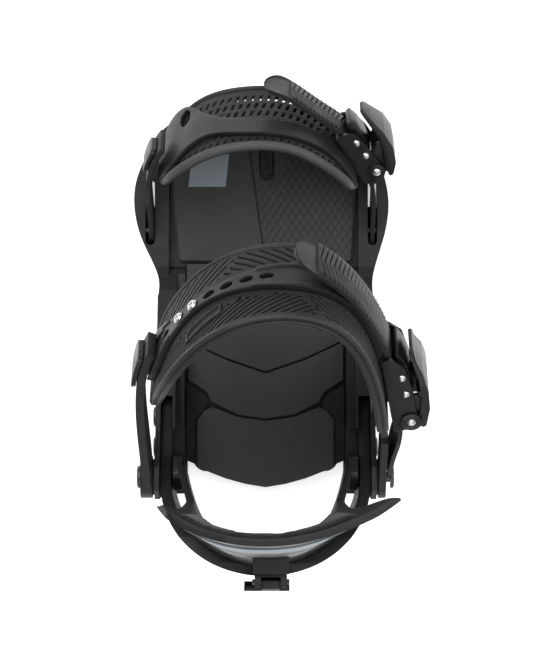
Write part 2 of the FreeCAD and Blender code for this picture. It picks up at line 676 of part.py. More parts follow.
ANKLE_LINE = [(-65.8, 46), (-65.2, 62), (-61.8, 84), (-54.5, 104), (-44, 120.5), (-30, 134.5), (-13, 144),
              (6, 148), (24, 146.5), (41, 138), (54, 121.5), (61.6, 102), (66.4, 80), (69, 58)]
ANKLE_CONNECTOR_LINE = [(-69.3, -13), (-69.3, 20), (-70.6, 45), (-70.8, 64), (-68.6, 86), (-63.2, 101.5)]
ANKLE_LADDER_LINE = [(16, 167), (25, 161.8), (34, 155.2), (44, 145.6), (53.5, 132.5), (61, 118.5),
                     (66, 106.5),
                     (69.3, 93.7), (72.9, 72.5), (76.6, 50), (75.8, 36), (73.2, 22), (71.8, 8)]
ANKLE_BUCKLE_ORIGIN = (78.0, 56.0)
ANKLE_BUCKLE_TURN = 9.8
ANKLE_BUCKLE_HALF = 15.2
ANKLE_PINS = ((4.5, 0.7), (4.2, 21.1), (3.6, 33.2))
ANKLE_PIN_RADII = (2.4, 1.6, 1.6)
ANKLE_HOLE_X = (-59, -53, -29.5, -20.2, -9.8, 1.0)
ANKLE_SCREW_X = (-45.5, -38.0)


def strap_outline(start_u, end_half, full_u, half):
    """Outline of a strap pad in u and w, narrow at the ends."""
    return [(start_u, -end_half), (start_u + 0.4 * (full_u - start_u), -0.85 * half), (full_u, -half),
            (240, -half),
            (240, half), (full_u, half), (start_u + 0.4 * (full_u - start_u), 0.85 * half),
            (start_u, end_half)]


def make_ankle_pad():
    pad = ribbon(ANKLE_LINE, -8.5, 0, -ANKLE_HALF_WIDTH, ANKLE_HALF_WIDTH)
    pad = pad.common(across(strap_outline(47, 17, 104, ANKLE_HALF_WIDTH), -120, 120, 7))
    medial_end = [(40, -40), (58, -40), (58, -2), (65, 7), (86, 25.5), (99, 30), (108, 33), (108, 40),
                  (40, 40)]
    return pad.cut(across(medial_end, -120, 0, 3))


def make_ankle_frame():
    """Perforated load band over the ankle pad."""
    start = on_curve(ANKLE_LINE, -62.2)[0]
    end = on_curve(ANKLE_LINE, 50.5)[0]
    middle = [point for point in ANKLE_LINE if start.x + 3 < point[0] < end.x - 3]
    line = [(start.x, start.y)] + middle + [(end.x, end.y)]
    band = ribbon(line, 0.15, 3.4, -9.3, 9.3)
    for x in ANKLE_HOLE_X:
        place, normal = on_curve(ANKLE_LINE, x)
        hole = Part.makeCylinder(2.6, 12, place - normal * 3, normal)
        second = hole.copy()
        shift = Vector(normal.y, -normal.x, 0) * 2.6
        hole.translate(shift * -0.5)
        second.translate(shift * 0.5)
        band = band.cut(hole).cut(second)
    for x in ANKLE_SCREW_X:
        place, normal = on_curve(ANKLE_LINE, x)
        band = band.cut(Part.makeCylinder(2.0 + RUNNING_FIT, 12, place - normal * 3, normal))
    return band


def make_ankle_screws():
    screws = []
    for x in ANKLE_SCREW_X:
        place, normal = on_curve(ANKLE_LINE, x)
        shank = Part.makeCylinder(2.0, 3.3, place + normal * 0.1, normal)
        head = Part.makeCone(3.6, 2.6, 1.1, place + normal * 3.4, normal)
        socket = Part.makeCylinder(1.2, 2, place + normal * 3.8, normal)
        screws.append(shank.fuse(head).cut(socket))
    return Part.makeCompound(screws)


def make_ankle_connector():
    strip = ribbon(ANKLE_CONNECTOR_LINE, -2.5, 2.5, -CONNECTOR_R, CONNECTOR_R)
    outline = across([(0, -CONNECTOR_R), (60, -11), (110, -9.5), (110, 9.5), (60, 11),
                      (0, CONNECTOR_R)], -90, -50)
    eye = rod((-90, 0, 0), (1, 0, 0), 40, CONNECTOR_R)
    strip = strip.common(outline.fuse(eye))
    boss = rod((-72.7, 0, 0), (1, 0, 0), 6.9, CONNECTOR_R)
    return strip.fuse(boss).cut(rod((-90, 0, 0), (1, 0, 0), 40, 3.0 + RUNNING_FIT)).removeSplitter()


def make_ankle_adjuster():
    """Lock tab on the ankle connector, hinged at its upper end."""
    tab = ribbon([point for point in ANKLE_CONNECTOR_LINE if point[1] > 40], 2.9, 5.6, -10.5, 10.5)
    return tab.common(across([(77, -10.5), (98, -10.5), (98, 10.5), (77, 10.5)], -90, -50, 4))


def make_ankle_side_link():
    """Plate that carries the ladder's lower end at the buckle side."""
    strip = ribbon([(67.9, -13), (67.9, 20), (68.2, 36)], -2.1, 2.1, -CONNECTOR_R, CONNECTOR_R)
    outline = across([(0, -CONNECTOR_R), (36, -11), (36, 11), (0, CONNECTOR_R)], 50, 90)
    eye = rod((50, 0, 0), (1, 0, 0), 40, CONNECTOR_R)
    strip = strip.common(outline.fuse(eye))
    return strip.cut(rod((50, 0, 0), (1, 0, 0), 40, 3.0 + RUNNING_FIT))


def make_ankle_ladder():
    ladder = make_ladder(ANKLE_LADDER_LINE, ANKLE_LADDER_HALF_WIDTH, 12, 128)
    cut = across([(-30, -60), (-30, 60), (-9, 60), (-9, -60)], 50, 90)
    tip = across([(0, LADDER_W - 12.0), (0, LADDER_W + 12.0), (20, LADDER_W + ANKLE_LADDER_HALF_WIDTH),
                  (161, LADDER_W + ANKLE_LADDER_HALF_WIDTH), (168, LADDER_W + 9), (168, LADDER_W - 9),
                  (161, LADDER_W - ANKLE_LADDER_HALF_WIDTH),
                  (20, LADDER_W - ANKLE_LADDER_HALF_WIDTH)], -90, 90, 5)
    return ladder.cut(cut).common(tip)


def make_ankle_buckle():
    plate = [(-6.2, -6), (-6.2, 46), (-1, 47.5), (6, 40), (8.2, 24), (8.2, 4), (4, -5)]
    frame = make_buckle_frame(plate, ANKLE_BUCKLE_HALF, -6.2, (-6, 46), ANKLE_PINS, ANKLE_PIN_RADII)
    pins = make_buckle_pins(ANKLE_BUCKLE_HALF, ANKLE_PINS, ANKLE_PIN_RADII)
    cover = [(9.2, -5), (12.5, -4.5), (16.2, 8), (17.0, 20), (15.6, 31), (12.8, 39), (11.8, 48), (9.8, 48),
             (10.4, 38), (12.4, 29), (12.6, 18), (10.6, 8), (8.8, 2)]
    taper = (26, 48, 9)
    arm = [(0.6, -1.6), (0.6, 3.2), (4, 13), (10.4, 20), (12.5, 10), (10, -4), (4.8, -3.7)]
    lever = make_lever(cover, taper, arm, ANKLE_BUCKLE_HALF, ANKLE_PINS[0], ANKLE_PIN_RADII[0])
    pawl = make_drive_pawl((4.4, 10.6), ANKLE_BUCKLE_HALF)
    tab = [(1.4, 18.6), (0.1, 28.6), (2.0, 30.6), (5.5, 31), (5.5, 35.6), (2.4, 36), (2.2, 41), (1.2, 45.5),
           (3.2, 46.6), (5.8, 42), (7.4, 37), (8.2, 31), (7.4, 20), (4.4, 17.6)]
    release = make_release(tab, ANKLE_BUCKLE_HALF, ANKLE_PINS[1], ANKLE_PIN_RADII[1])
    return {"ankle_buckle_frame": frame, "ankle_buckle_pins": pins, "ankle_lever": lever,
            "ankle_drive_pawl": pawl, "ankle_release": release}


def make_ankle_strap():
    """All pieces of the ankle strap, by node name."""
    pieces = {}
    for name, shape in make_ankle_buckle().items():
        pieces[name] = in_buckle(shape, ANKLE_BUCKLE_ORIGIN, ANKLE_BUCKLE_TURN)
    pieces["ankle_pad"] = make_ankle_pad()
    pieces["ankle_frame"] = make_ankle_frame()
    pieces["ankle_screws"] = make_ankle_screws()
    pieces["ankle_connector"] = make_ankle_connector()
    pieces["ankle_adjuster"] = make_ankle_adjuster()
    pieces["ankle_side_link"] = make_ankle_side_link()
    pieces["ankle_ladder"] = make_ankle_ladder()
    return {name: in_strap(shape, ANKLE_PIVOT) for name, shape in pieces.items()}


# ---------------------------------------------------------------- toe strap

TOE_LINE = [(-61, 42), (-57, 54), (-46, 66.5), (-33, 75), (-16, 80), (0, 81), (16, 78), (31, 69.5),
            (42.5, 59.5),
            (49.5, 49.5), (53, 40)]
TOE_CONNECTOR_LINE = [(-69.3, -7), (-69.3, 30), (-68.6, 44), (-65.6, 56), (-60, 66)]
TOE_LADDER_LINE = [(-1, 97), (7, 96.6), (14.5, 93), (26.8, 83.8), (36, 77), (44.4, 70.2), (51.1, 58.5),
                   (57.8, 46.8),
                   (62.4, 38), (64.2, 28), (64.3, 12), (64.3, -6.5)]
TOE_BUCKLE_ORIGIN = (60.0, 48.0)
TOE_BUCKLE_TURN = 29.7
TOE_BUCKLE_HALF = 12.6
TOE_PINS = ((4.5, -3.0), (3.9, 9.3), (3.2, 19.4))
TOE_PIN_RADII = (2.4, 1.6, 1.6)


def make_toe_pad():
    """Cap over the toe: it reaches further to the front than to the rear."""
    front, rear = -TOE_FRONT_WIDTH, TOE_REAR_WIDTH
    pad = ribbon(TOE_LINE, -7.0, 0, front, rear)
    outline = [(40, -12), (50, -18), (60, -30), (69, front), (240, front), (240, rear), (70, rear),
               (52, 22), (40, 12)]
    return pad.common(across(outline, -120, 120, 6))


def make_toe_frame():
    """Load band over the toe pad."""
    band = ribbon([point for point in TOE_LINE if -58 < point[0] < 44], 0.2, 3.0, -8, 17)
    outline = [(40, -8), (64, -8), (77, 2), (90, 2), (90, 16.4), (77, 16.4), (64, 8), (40, 8)]
    return band.common(across(outline, -120, 120, 4))


def make_toe_connector():
    strip = ribbon(TOE_CONNECTOR_LINE, -1.6, 1.6, -11, 11)
    outline = across([(-6.8, -TONGUE_HALF_WIDTH + 3), (-6.8, TONGUE_HALF_WIDTH - 3), (0, TONGUE_HALF_WIDTH),
                      (26, TONGUE_HALF_WIDTH), (38, 11), (80, 10), (80, -10), (38, -11),
                      (26, -TONGUE_HALF_WIDTH),
                      (0, -TONGUE_HALF_WIDTH)], -90, -40, 2)
    return strip.common(outline).cut(rod((-90, 0, 0), (1, 0, 0), 40, 2.0 + RUNNING_FIT))


def make_toe_adjuster():
    """Lock tab on the toe connector, hinged at its upper end."""
    tab = ribbon([point for point in TOE_CONNECTOR_LINE if point[1] > 25], 2.0, 4.4, -8.5, 8.5)
    return tab.common(across([(49, -8.5), (64, -8.5), (64, 8.5), (49, 8.5)], -90, -40, 3))


def make_toe_ladder():
    ladder = make_ladder(TOE_LADDER_LINE, TOE_LADDER_HALF_WIDTH, 16, 82)
    shape = across([(-6.5, LADDER_W - 6), (-6.5, LADDER_W + 8), (0, LADDER_W + 9), (24, LADDER_W + 9),
                    (34, LADDER_W + TOE_LADDER_HALF_WIDTH), (99, LADDER_W + TOE_LADDER_HALF_WIDTH),
                    (99, LADDER_W - TOE_LADDER_HALF_WIDTH), (34, LADDER_W - TOE_LADDER_HALF_WIDTH),
                    (24, LADDER_W - 6), (0, LADDER_W - 6)], -90, 90, 2)
    end = plan([(-1.5, 60), (-1.5, 110), (90, 110), (90, -30), (50, -30), (20, 60)],
               LADDER_W - TOE_LADDER_HALF_WIDTH, LADDER_W + TOE_LADDER_HALF_WIDTH)
    return ladder.common(shape).common(end).cut(rod((40, 0, 0), (1, 0, 0), 40, 2.0 + RUNNING_FIT))


def make_toe_buckle():
    plate = [(-6.1, -6), (-6.1, 27), (-1, 28), (5, 25), (7.6, 14), (8.6, -2), (4, -9), (-1, -10)]
    frame = make_buckle_frame(plate, TOE_BUCKLE_HALF, -6.1, (-5, 27), TOE_PINS, TOE_PIN_RADII)
    pins = make_buckle_pins(TOE_BUCKLE_HALF, TOE_PINS, TOE_PIN_RADII)
    cover = [(9.8, -10), (12.4, -9.5), (17, -4), (20.4, 6), (20.2, 16), (17.2, 25), (14.8, 33), (12.8, 33),
             (14.4, 24), (15.8, 15), (14, 6), (10, -3)]
    taper = (14, 33, 7)
    arm = [(0.8, -5.2), (0.8, -0.6), (8, 9), (15.6, 14), (16, 4), (13, -7), (4.8, -7.2)]
    lever = make_lever(cover, taper, arm, TOE_BUCKLE_HALF, TOE_PINS[0], TOE_PIN_RADII[0])
    pawl = make_drive_pawl((4.6, 3.8), TOE_BUCKLE_HALF)
    tab = [(1.2, 7.6), (0.1, 15.0), (1.6, 17), (5.1, 17.3), (5.1, 21.6), (2.0, 22), (1.8, 25), (2.6, 30.5),
           (5.4, 31), (7.2, 25), (7.8, 18), (6.6, 8.2), (3.8, 6.4)]
    release = make_release(tab, TOE_BUCKLE_HALF, TOE_PINS[1], TOE_PIN_RADII[1])
    return {"toe_buckle_frame": frame, "toe_buckle_pins": pins, "toe_lever": lever, "toe_drive_pawl": pawl,
            "toe_release": release}


def make_toe_strap():
    """All pieces of the toe strap, by node name."""
    tilted = {}
    for name, shape in make_toe_buckle().items():
        tilted[name] = in_buckle(shape, TOE_BUCKLE_ORIGIN, TOE_BUCKLE_TURN)
    tilted["toe_ladder"] = make_toe_ladder()
    pieces = {name: in_strap(shape, TOE_PIVOT, TOE_LADDER_TILT) for name, shape in tilted.items()}
    level = {"toe_cap_pad": make_toe_pad(), "toe_cap_frame": make_toe_frame(),
             "toe_connector": make_toe_connector(), "toe_adjuster": make_toe_adjuster()}
    pieces.update({name: in_strap(shape, TOE_PIVOT) for name, shape in level.items()})
    return pieces


# ---------------------------------------------------------------- assembly

def make_all():
    medial_pad, lateral_pad = make_toe_pads()
    heel_centre, heel_rear = make_heel_pads()
    pieces = {
        "base_plate": make_base_plate(),
        "base_bushing_front": make_bushing(56, 100, 52),
        "base_bushing_rear": make_bushing(-104, -56, 44),
        "mounting_disc": make_disc(),
        "toe_ramp": make_toe_ramp(),
        "toe_pad_medial": medial_pad,
        "toe_pad_lateral": lateral_pad,
        "toe_ramp_loop": make_ramp_loop(),
        "mid_pad": make_mid_pad(),
        "heel_tray": make_heel_tray(),
        "heel_pad_centre": heel_centre,
        "heel_pad_rear": heel_rear,
        "heelcup": make_heelcup(),
        "heelcup_bolts": make_heelcup_bolts(),
        "highback_pivot_bolts": make_highback_bolts(),
        "ankle_pivot_bolts": make_ankle_bolts(),
        "ankle_washers": make_ankle_washers(),
        "toe_strap_pins": make_toe_pins(),
        "highback_shell": make_highback_shell(),
        "highback_liner": make_highback_liner(),
        "highback_accent": make_highback_accent(),
        "lean_rack": make_lean_rack(),
        "lean_block": make_lean_block(),
        "lean_pin": make_lean_pin(),
        "lean_lever": make_lean_lever(),
    }
    pieces.update(make_ankle_strap())
    pieces.update(make_toe_strap())
    return pieces


os.makedirs("parts", exist_ok=True)
for piece_name, piece in make_all().items():
    save(piece_name, piece)
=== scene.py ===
import math

import bmesh
import bpy
import numpy as np
from bpy.props import FloatProperty, FloatVectorProperty, PointerProperty
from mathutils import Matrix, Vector


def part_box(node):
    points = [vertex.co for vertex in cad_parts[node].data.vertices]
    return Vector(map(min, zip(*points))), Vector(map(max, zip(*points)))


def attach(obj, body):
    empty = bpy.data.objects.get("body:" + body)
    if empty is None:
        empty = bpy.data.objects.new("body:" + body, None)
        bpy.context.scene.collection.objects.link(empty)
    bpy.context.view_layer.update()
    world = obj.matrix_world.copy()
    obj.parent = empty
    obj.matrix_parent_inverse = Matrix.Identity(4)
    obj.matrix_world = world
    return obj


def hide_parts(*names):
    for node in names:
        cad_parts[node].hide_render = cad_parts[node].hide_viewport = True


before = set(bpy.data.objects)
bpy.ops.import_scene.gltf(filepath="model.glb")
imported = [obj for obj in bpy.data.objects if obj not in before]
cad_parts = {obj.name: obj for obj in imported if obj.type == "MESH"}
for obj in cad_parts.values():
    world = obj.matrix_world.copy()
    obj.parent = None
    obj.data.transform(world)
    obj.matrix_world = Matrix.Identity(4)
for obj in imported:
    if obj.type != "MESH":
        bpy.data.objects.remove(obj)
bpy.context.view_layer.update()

bl_info = {
    "name": "Snowboard binding",
    "version": (1, 0, 0),
    "blender": (4, 5, 0),
    "location": "View3D > Sidebar > Binding",
    "description": "Strap-in snowboard binding: moulded straps, ladders, padding, finishes and a studio",
    "category": "Object",
}

MM = 0.001

# Strap frames, as in the CAD: x across, u along the strap from its pivot, w along its width
ANKLE_PIVOT = Vector((0.0, -0.104, 0.060))
TOE_PIVOT = Vector((0.0, 0.042, 0.012))
STRAP_TILT = math.radians(40.0)
TOE_LADDER_TILT = math.radians(33.0)

# Outer face of each strap in (x, u), millimetres, from the left end to the buckle side
ANKLE_LINE = ((-65.8, 46), (-65.2, 62), (-61.8, 84), (-54.5, 104), (-44, 120.5), (-30, 134.5), (-13, 144),
              (6, 148), (24, 146.5), (41, 138), (54, 121.5), (61.6, 102), (66.4, 80), (69, 58))
TOE_LINE = ((-61, 42), (-57, 54), (-46, 66.5), (-33, 75), (-16, 80), (0, 81), (16, 78), (31, 69.5),
            (42.5, 59.5), (49.5, 49.5), (53, 40))
ANKLE_LADDER_LINE = ((16, 167), (25, 161.8), (34, 155.2), (44, 145.6), (53.5, 132.5), (61, 118.5), (66, 106.5),
                     (69.3, 93.7), (72.9, 72.5), (76.6, 50), (75.8, 36), (73.2, 22), (71.8, 8))
TOE_LADDER_LINE = ((-1, 97), (7, 96.6), (14.5, 93), (26.8, 83.8), (36, 77), (44.4, 70.2), (51.1, 58.5),
                   (57.8, 46.8), (62.4, 38), (64.2, 28), (64.3, 12), (64.3, -6.5))


# ---------------------------------------------------------------- sizes and colours

class BindingSizes(bpy.types.PropertyGroup):
    """Sizes of the moulded details."""

    rib_pitch: FloatProperty(name="Rib pitch", description="Distance between the ankle pad's ribs, along the strap",
                             default=7.4 * MM, unit="LENGTH")
    groove_width: FloatProperty(name="Groove width", description="Width of the grooves between ribs",
                                default=1.5 * MM, unit="LENGTH")
    groove_depth: FloatProperty(name="Groove depth", description="Depth of the grooves between ribs",
                                default=2.0 * MM, unit="LENGTH")
    rim_radius: FloatProperty(name="Rim radius", description="Half the thickness of the bead round the ankle pad",
                              default=1.7 * MM, unit="LENGTH")
    tooth_pitch: FloatProperty(name="Tooth pitch", description="Distance between two teeth of a ladder",
                               default=3.2 * MM, unit="LENGTH")
    tooth_height: FloatProperty(name="Tooth height", description="Height of a ladder's teeth",
                                default=1.0 * MM, unit="LENGTH")
    tooth_sweep: FloatProperty(name="Tooth sweep", description="How far the middle of a tooth lies ahead of its ends",
                               default=3.6 * MM, unit="LENGTH")
    slot_wall: FloatProperty(name="Slot wall", description="Wall between the toe cap's slots",
                             default=1.25 * MM, unit="LENGTH")


class BindingColours(bpy.types.PropertyGroup):
    """Base colours of the finishes, linear."""

    nylon: FloatVectorProperty(name="Nylon", description="Base, heelcup and highback", subtype="COLOR",
                               size=3, default=(0.0085, 0.0085, 0.009))
    band: FloatVectorProperty(name="Load band", description="Moulded bands over both straps", subtype="COLOR",
                              size=3, default=(0.0125, 0.0128, 0.0142))
    strap: FloatVectorProperty(name="Strap pad", description="Moulded strap pads", subtype="COLOR",
                               size=3, default=(0.0050, 0.0050, 0.0054))
    rim: FloatVectorProperty(name="Rim", description="Light bead along the toe strap", subtype="COLOR",
                             size=3, default=(0.050, 0.050, 0.052))
    footbed: FloatVectorProperty(name="Footbed", description="Foam pads under the boot", subtype="COLOR",
                                 size=3, default=(0.0360, 0.0360, 0.0365))
    ladder: FloatVectorProperty(name="Ladder", description="Toothed straps", subtype="COLOR",
                                size=3, default=(0.0100, 0.0100, 0.0105))
    lever: FloatVectorProperty(name="Lever", description="Buckle levers and tabs", subtype="COLOR",
                               size=3, default=(0.0050, 0.0050, 0.0055))
    patch: FloatVectorProperty(name="Patch", description="Printed patches", subtype="COLOR",
                               size=3, default=(0.17, 0.20, 0.22))


def sizes():
    """The sizes set in the sidebar."""
    return bpy.context.scene.binding_sizes


def colours():
    """The colours set in the sidebar."""
    return bpy.context.scene.binding_colours


# ---------------------------------------------------------------- materials

SPECULAR = 0.26          # strength of the highlights, the same on every finish
WORN_AND_LIT_EDGE = (0.97, 0.80)  # cosine of the turn at an edge where the lighter edge starts, and where it is full; it is partly rubbed plastic, partly a painted highlight
FINISHES = {}            # materials by the name of the finish, filled by main()


class Finish:
    """A node material under construction, with short names for the nodes it uses most."""

    def __init__(self, name, colour):
        self.material = bpy.data.materials.new(name)
        self.material.use_nodes = True
        self.material.diffuse_color = (*colour, 1.0)
        self.tree = self.material.node_tree
        self.shader = self.tree.nodes["Principled BSDF"]
        self.shader.inputs["Specular IOR Level"].default_value = SPECULAR
        self.colour = colour
        self.place = self.add("ShaderNodeTexCoord").outputs["Object"]

    def add(self, kind, **values):
        """A new node with its settings."""
        node = self.tree.nodes.new(kind)
        for key, value in values.items():
            setattr(node, key, value)
        return node

    def join(self, source, target):
        """Link two sockets."""
        self.tree.links.new(source, target)

    def noise(self, scale, detail=2.0):
        """Even noise from 0 to 1 over the object's own coordinates."""
        node = self.add("ShaderNodeTexNoise")
        node.inputs["Scale"].default_value = scale
        node.inputs["Detail"].default_value = detail
        self.join(self.place, node.inputs["Vector"])
        return node.outputs["Fac"]

    def spread(self, source, low, high, to_low=0.0, to_high=1.0):
        """Map a value from one range to another, and keep it inside."""
        node = self.add("ShaderNodeMapRange")
        for key, value in (("From Min", low), ("From Max", high), ("To Min", to_low), ("To Max", to_high)):
            node.inputs[key].default_value = value
        self.join(source, node.inputs["Value"])
        return node.outputs["Result"]

    def math(self, operation, first, second):
        """One sum; each term is a number or a socket."""
        node = self.add("ShaderNodeMath", operation=operation)
        for socket, value in zip(node.inputs, (first, second)):
            if isinstance(value, (int, float)):
                socket.default_value = value
            else:
                self.join(value, socket)
        return node.outputs[0]

    def mix(self, amount, first, second):
        """Blend two colours; each is a colour or a socket."""
        node = self.add("ShaderNodeMix", data_type="RGBA")
        self.join(amount, node.inputs["Factor"])
        for socket, value in zip((node.inputs[6], node.inputs[7]), (first, second)):
            if isinstance(value, bpy.types.NodeSocket):
                self.join(value, socket)
            else:
                socket.default_value = (*value, 1.0)
        return node.outputs[2]

    def tone(self, factor):
        """The finish's own colour, made darker or lighter."""
        return tuple(min(1.0, channel * factor) for channel in self.colour)

    def bumps(self, heights, normal=None):
        """Stack bump layers given as (socket, strength, distance)."""
        for height, strength, distance in heights:
            node = self.add("ShaderNodeBump")
            node.inputs["Strength"].default_value = strength
            node.inputs["Distance"].default_value = distance
            self.join(height, node.inputs["Height"])
            if normal is not None:
                self.join(normal, node.inputs["Normal"])
            normal = node.outputs["Normal"]
        if normal is not None:
            self.join(normal, self.shader.inputs["Normal"])

    def eased_edges(self, radius):
        """Rounded shading over hard edges, and a mask that is 1 on them."""
        bevel = self.add("ShaderNodeBevel", samples=6)
        bevel.inputs["Radius"].default_value = radius
        flat = self.add("ShaderNodeNewGeometry").outputs["True Normal"]
        dot = self.add("ShaderNodeVectorMath", operation="DOT_PRODUCT")
        self.join(bevel.outputs["Normal"], dot.inputs[0])
        self.join(flat, dot.inputs[1])
        return bevel.outputs["Normal"], self.spread(dot.outputs["Value"], *WORN_AND_LIT_EDGE)

    def complete(self, colour, patches, low, high, heights, normal):
        """Wire up the shader: colour, a roughness that varies in patches from low to high, and bump."""
        self.join(colour, self.shader.inputs["Base Color"])
        self.join(self.spread(patches, 0.3, 0.7, low, high), self.shader.inputs["Roughness"])
        self.bumps(heights, normal)
        return self.material


def moulded(name, colour, roughness=0.5, wear_and_highlight=1.55):
    """Fine-grained moulded plastic: satin, a little uneven, lighter along its edges: partly rubbed plastic, partly a
    painted highlight.
    """
    finish = Finish(name, colour)
    normal, edges = finish.eased_edges(0.7 * MM)
    clouded = finish.mix(finish.noise(38.0, 3.0), finish.tone(0.9), finish.tone(1.12))
    # Painted highlight and rubbed plastic: the colour is made lighter along edges, in noisy patches
    scuffs_and_highlight = finish.math("MULTIPLY", edges, finish.spread(finish.noise(240.0, 3.0), 0.35, 0.7))
    worn_and_lit = finish.mix(scuffs_and_highlight, clouded, finish.tone(wear_and_highlight))
    grain = 1500.0
    heights = [(finish.noise(grain, 3.0), 0.28, 0.12 * MM), (finish.noise(grain / 9, 2.0), 0.08, 0.5 * MM)]
    return finish.complete(worn_and_lit, finish.noise(90.0, 3.0), roughness - 0.07, roughness + 0.07, heights, normal)


def foam(name, colour, roughness=0.82, cells=2200.0, pattern=None):
    """Closed-cell foam: matt, finely pitted, with a soft sheen, and a pattern on top if one is given."""
    finish = Finish(name, colour)
    normal, edges = finish.eased_edges(0.8 * MM)
    pits = finish.add("ShaderNodeTexVoronoi")
    pits.inputs["Scale"].default_value = cells
    finish.join(finish.place, pits.inputs["Vector"])
    clouded = finish.mix(finish.noise(26.0, 4.0), finish.tone(0.84), finish.tone(1.16))
    # Painted highlight: the foam's colour is made lighter along all its edges
    shade = finish.mix(edges, clouded, finish.tone(1.25))
    heights = [(pits.outputs["Distance"], 0.22, 0.14 * MM), (finish.noise(420.0, 3.0), 0.12, 0.3 * MM)]
    if pattern is not None:
        shade = pattern(finish, shade, heights)
    finish.shader.inputs["Sheen Weight"].default_value = 0.08
    finish.shader.inputs["Sheen Roughness"].default_value = 0.6
    return finish.complete(shade, finish.noise(130.0, 3.0), roughness - 0.06, roughness + 0.06, heights, normal)


def metal(name, colour, roughness):
    """Plated or blackened steel with faint machining marks."""
    finish = Finish(name, colour)
    normal = finish.eased_edges(0.35 * MM)[0]
    finish.shader.inputs["Metallic"].default_value = 1.0
    clouded = finish.mix(finish.noise(300.0, 3.0), finish.tone(0.85), finish.tone(1.1))
    marks = [(finish.noise(2600.0, 2.0), 0.12, 0.05 * MM)]
    return finish.complete(clouded, finish.noise(900.0, 2.0), roughness - 0.08, roughness + 0.1, marks, normal)


def hatch(finish, angle, pitch, width):
    """Mask of thin parallel lines on the plan view, at an angle."""
    mapping = finish.add("ShaderNodeMapping")
    mapping.inputs["Rotation"].default_value = (0.0, 0.0, math.radians(angle))
    finish.join(finish.place, mapping.inputs["Vector"])
    split = finish.add("ShaderNodeSeparateXYZ")
    finish.join(mapping.outputs["Vector"], split.inputs["Vector"])
    phase = finish.math("PINGPONG", split.outputs["X"], pitch / 2)
    return finish.spread(phase, width, width * 0.4)


HATCH_ANGLE = 33.0        # degrees either side of the toe direction
HATCH_PITCH = 3.9 * MM
HATCH_WIDTH = 0.3 * MM
HATCH_FADE = (-0.012, 0.020)  # x where the second set of lines starts, and where it is full


def crosshatched(finish, shade, heights):
    """Two sets of fine sunk lines that cross; the second grows stronger towards the outer side."""
    first = hatch(finish, HATCH_ANGLE, HATCH_PITCH, HATCH_WIDTH)
    second = hatch(finish, -HATCH_ANGLE, HATCH_PITCH, HATCH_WIDTH)
    split = finish.add("ShaderNodeSeparateXYZ")
    finish.join(finish.place, split.inputs["Vector"])
    outer = finish.spread(split.outputs["X"], *HATCH_FADE)
    lines = finish.math("MAXIMUM", first, finish.math("MULTIPLY", second, outer))
    heights.append((finish.math("SUBTRACT", 1.0, lines), 0.5, 0.35 * MM))
    # Painted shade: the sunk lines are also made darker in colour
    return finish.mix(lines, shade, finish.tone(0.4))


def build_finishes():
    """All the materials, by the name of the finish."""
    tint = colours()
    return {
        "nylon": moulded("glass_filled_nylon", tint.nylon, 0.52),
        "nylon_back": moulded("highback_nylon", tint.nylon, 0.46),
        "band": moulded("load_band_plastic", tint.band, 0.46),
        "strap": foam("moulded_strap_pad", tint.strap, 0.66, 3000.0),
        "rim": moulded("strap_rim_plastic", tint.rim, 0.5, wear_and_highlight=1.2),
        "dark_rim": moulded("strap_edge_bead", tuple(c * 0.42 for c in tint.rim), 0.46, wear_and_highlight=1.25),
        "cushion": foam("strap_cushion_foam", tuple(c * 0.8 for c in tint.strap), 0.9, 1500.0),
        "footbed": foam("footbed_foam", tint.footbed),
        "footbed_hatched": foam("footbed_foam_hatched", tint.footbed, pattern=crosshatched),
        "bushing": foam("foot_rubber", tuple(c * 0.3 for c in tint.footbed), 0.9),
        "liner": foam("highback_liner_foam", tuple(c * 0.35 for c in tint.footbed), 0.86, 1500.0),
        "ladder": moulded("ladder_plastic", tint.ladder, 0.44),
        "buckle": moulded("black_anodised", tint.lever, 0.34, wear_and_highlight=2.2),
        "lever": moulded("lever_plastic", tint.lever, 0.38, wear_and_highlight=1.9),
        "steel": metal("zinc_plated_steel", (0.50, 0.50, 0.52), 0.34),
        "dark_steel": metal("black_oxide_steel", (0.06, 0.06, 0.063), 0.4),
        "patch": moulded("printed_patch", tint.patch, 0.55, wear_and_highlight=1.1),
    }


def paint(piece, finish):
    """Give a piece one material in its own slot."""
    if piece.data.materials:
        for index in range(len(piece.data.materials)):
            piece.data.materials[index] = FINISHES[finish]
    else:
        piece.data.materials.append(FINISHES[finish])


# ---------------------------------------------------------------- modelling helpers

def deselect_all():
    """Leave edit mode, and leave nothing selected."""
    if bpy.context.object is not None and bpy.context.object.mode != "OBJECT":
        bpy.ops.object.mode_set(mode="OBJECT")
    bpy.ops.object.select_all(action="DESELECT")


def choose(piece):
    """Make one object the only selected and the active one."""
    deselect_all()
    piece.select_set(True)
    bpy.context.view_layer.objects.active = piece


def edit(piece, kind="FACE"):
    """Open one object in edit mode, to select its faces, edges or points."""
    choose(piece)
    bpy.ops.object.mode_set(mode="EDIT")
    bpy.ops.mesh.select_mode(type=kind)


def done():
    """Leave edit mode."""
    bpy.ops.object.mode_set(mode="OBJECT")


def pick_faces(piece, test):
    """In edit mode, select only the faces whose centre and normal pass a test."""
    bpy.ops.mesh.select_all(action="DESELECT")
    mesh = bmesh.from_edit_mesh(piece.data)
    for face in mesh.faces:
        face.select_set(bool(test(face.calc_center_median(), face.normal)))
    bmesh.update_edit_mesh(piece.data)


def panel(name, length, width, columns, rows):
    """Flat grid with its left edge at x = 0, its width centred on y = 0."""
    deselect_all()
    bpy.ops.mesh.primitive_grid_add(x_subdivisions=columns, y_subdivisions=rows, size=1.0,
                                    location=(length / 2, 0, 0))
    piece = bpy.context.object
    piece.name = name
    piece.scale = (length, width, 1.0)
    settle(piece)
    return piece


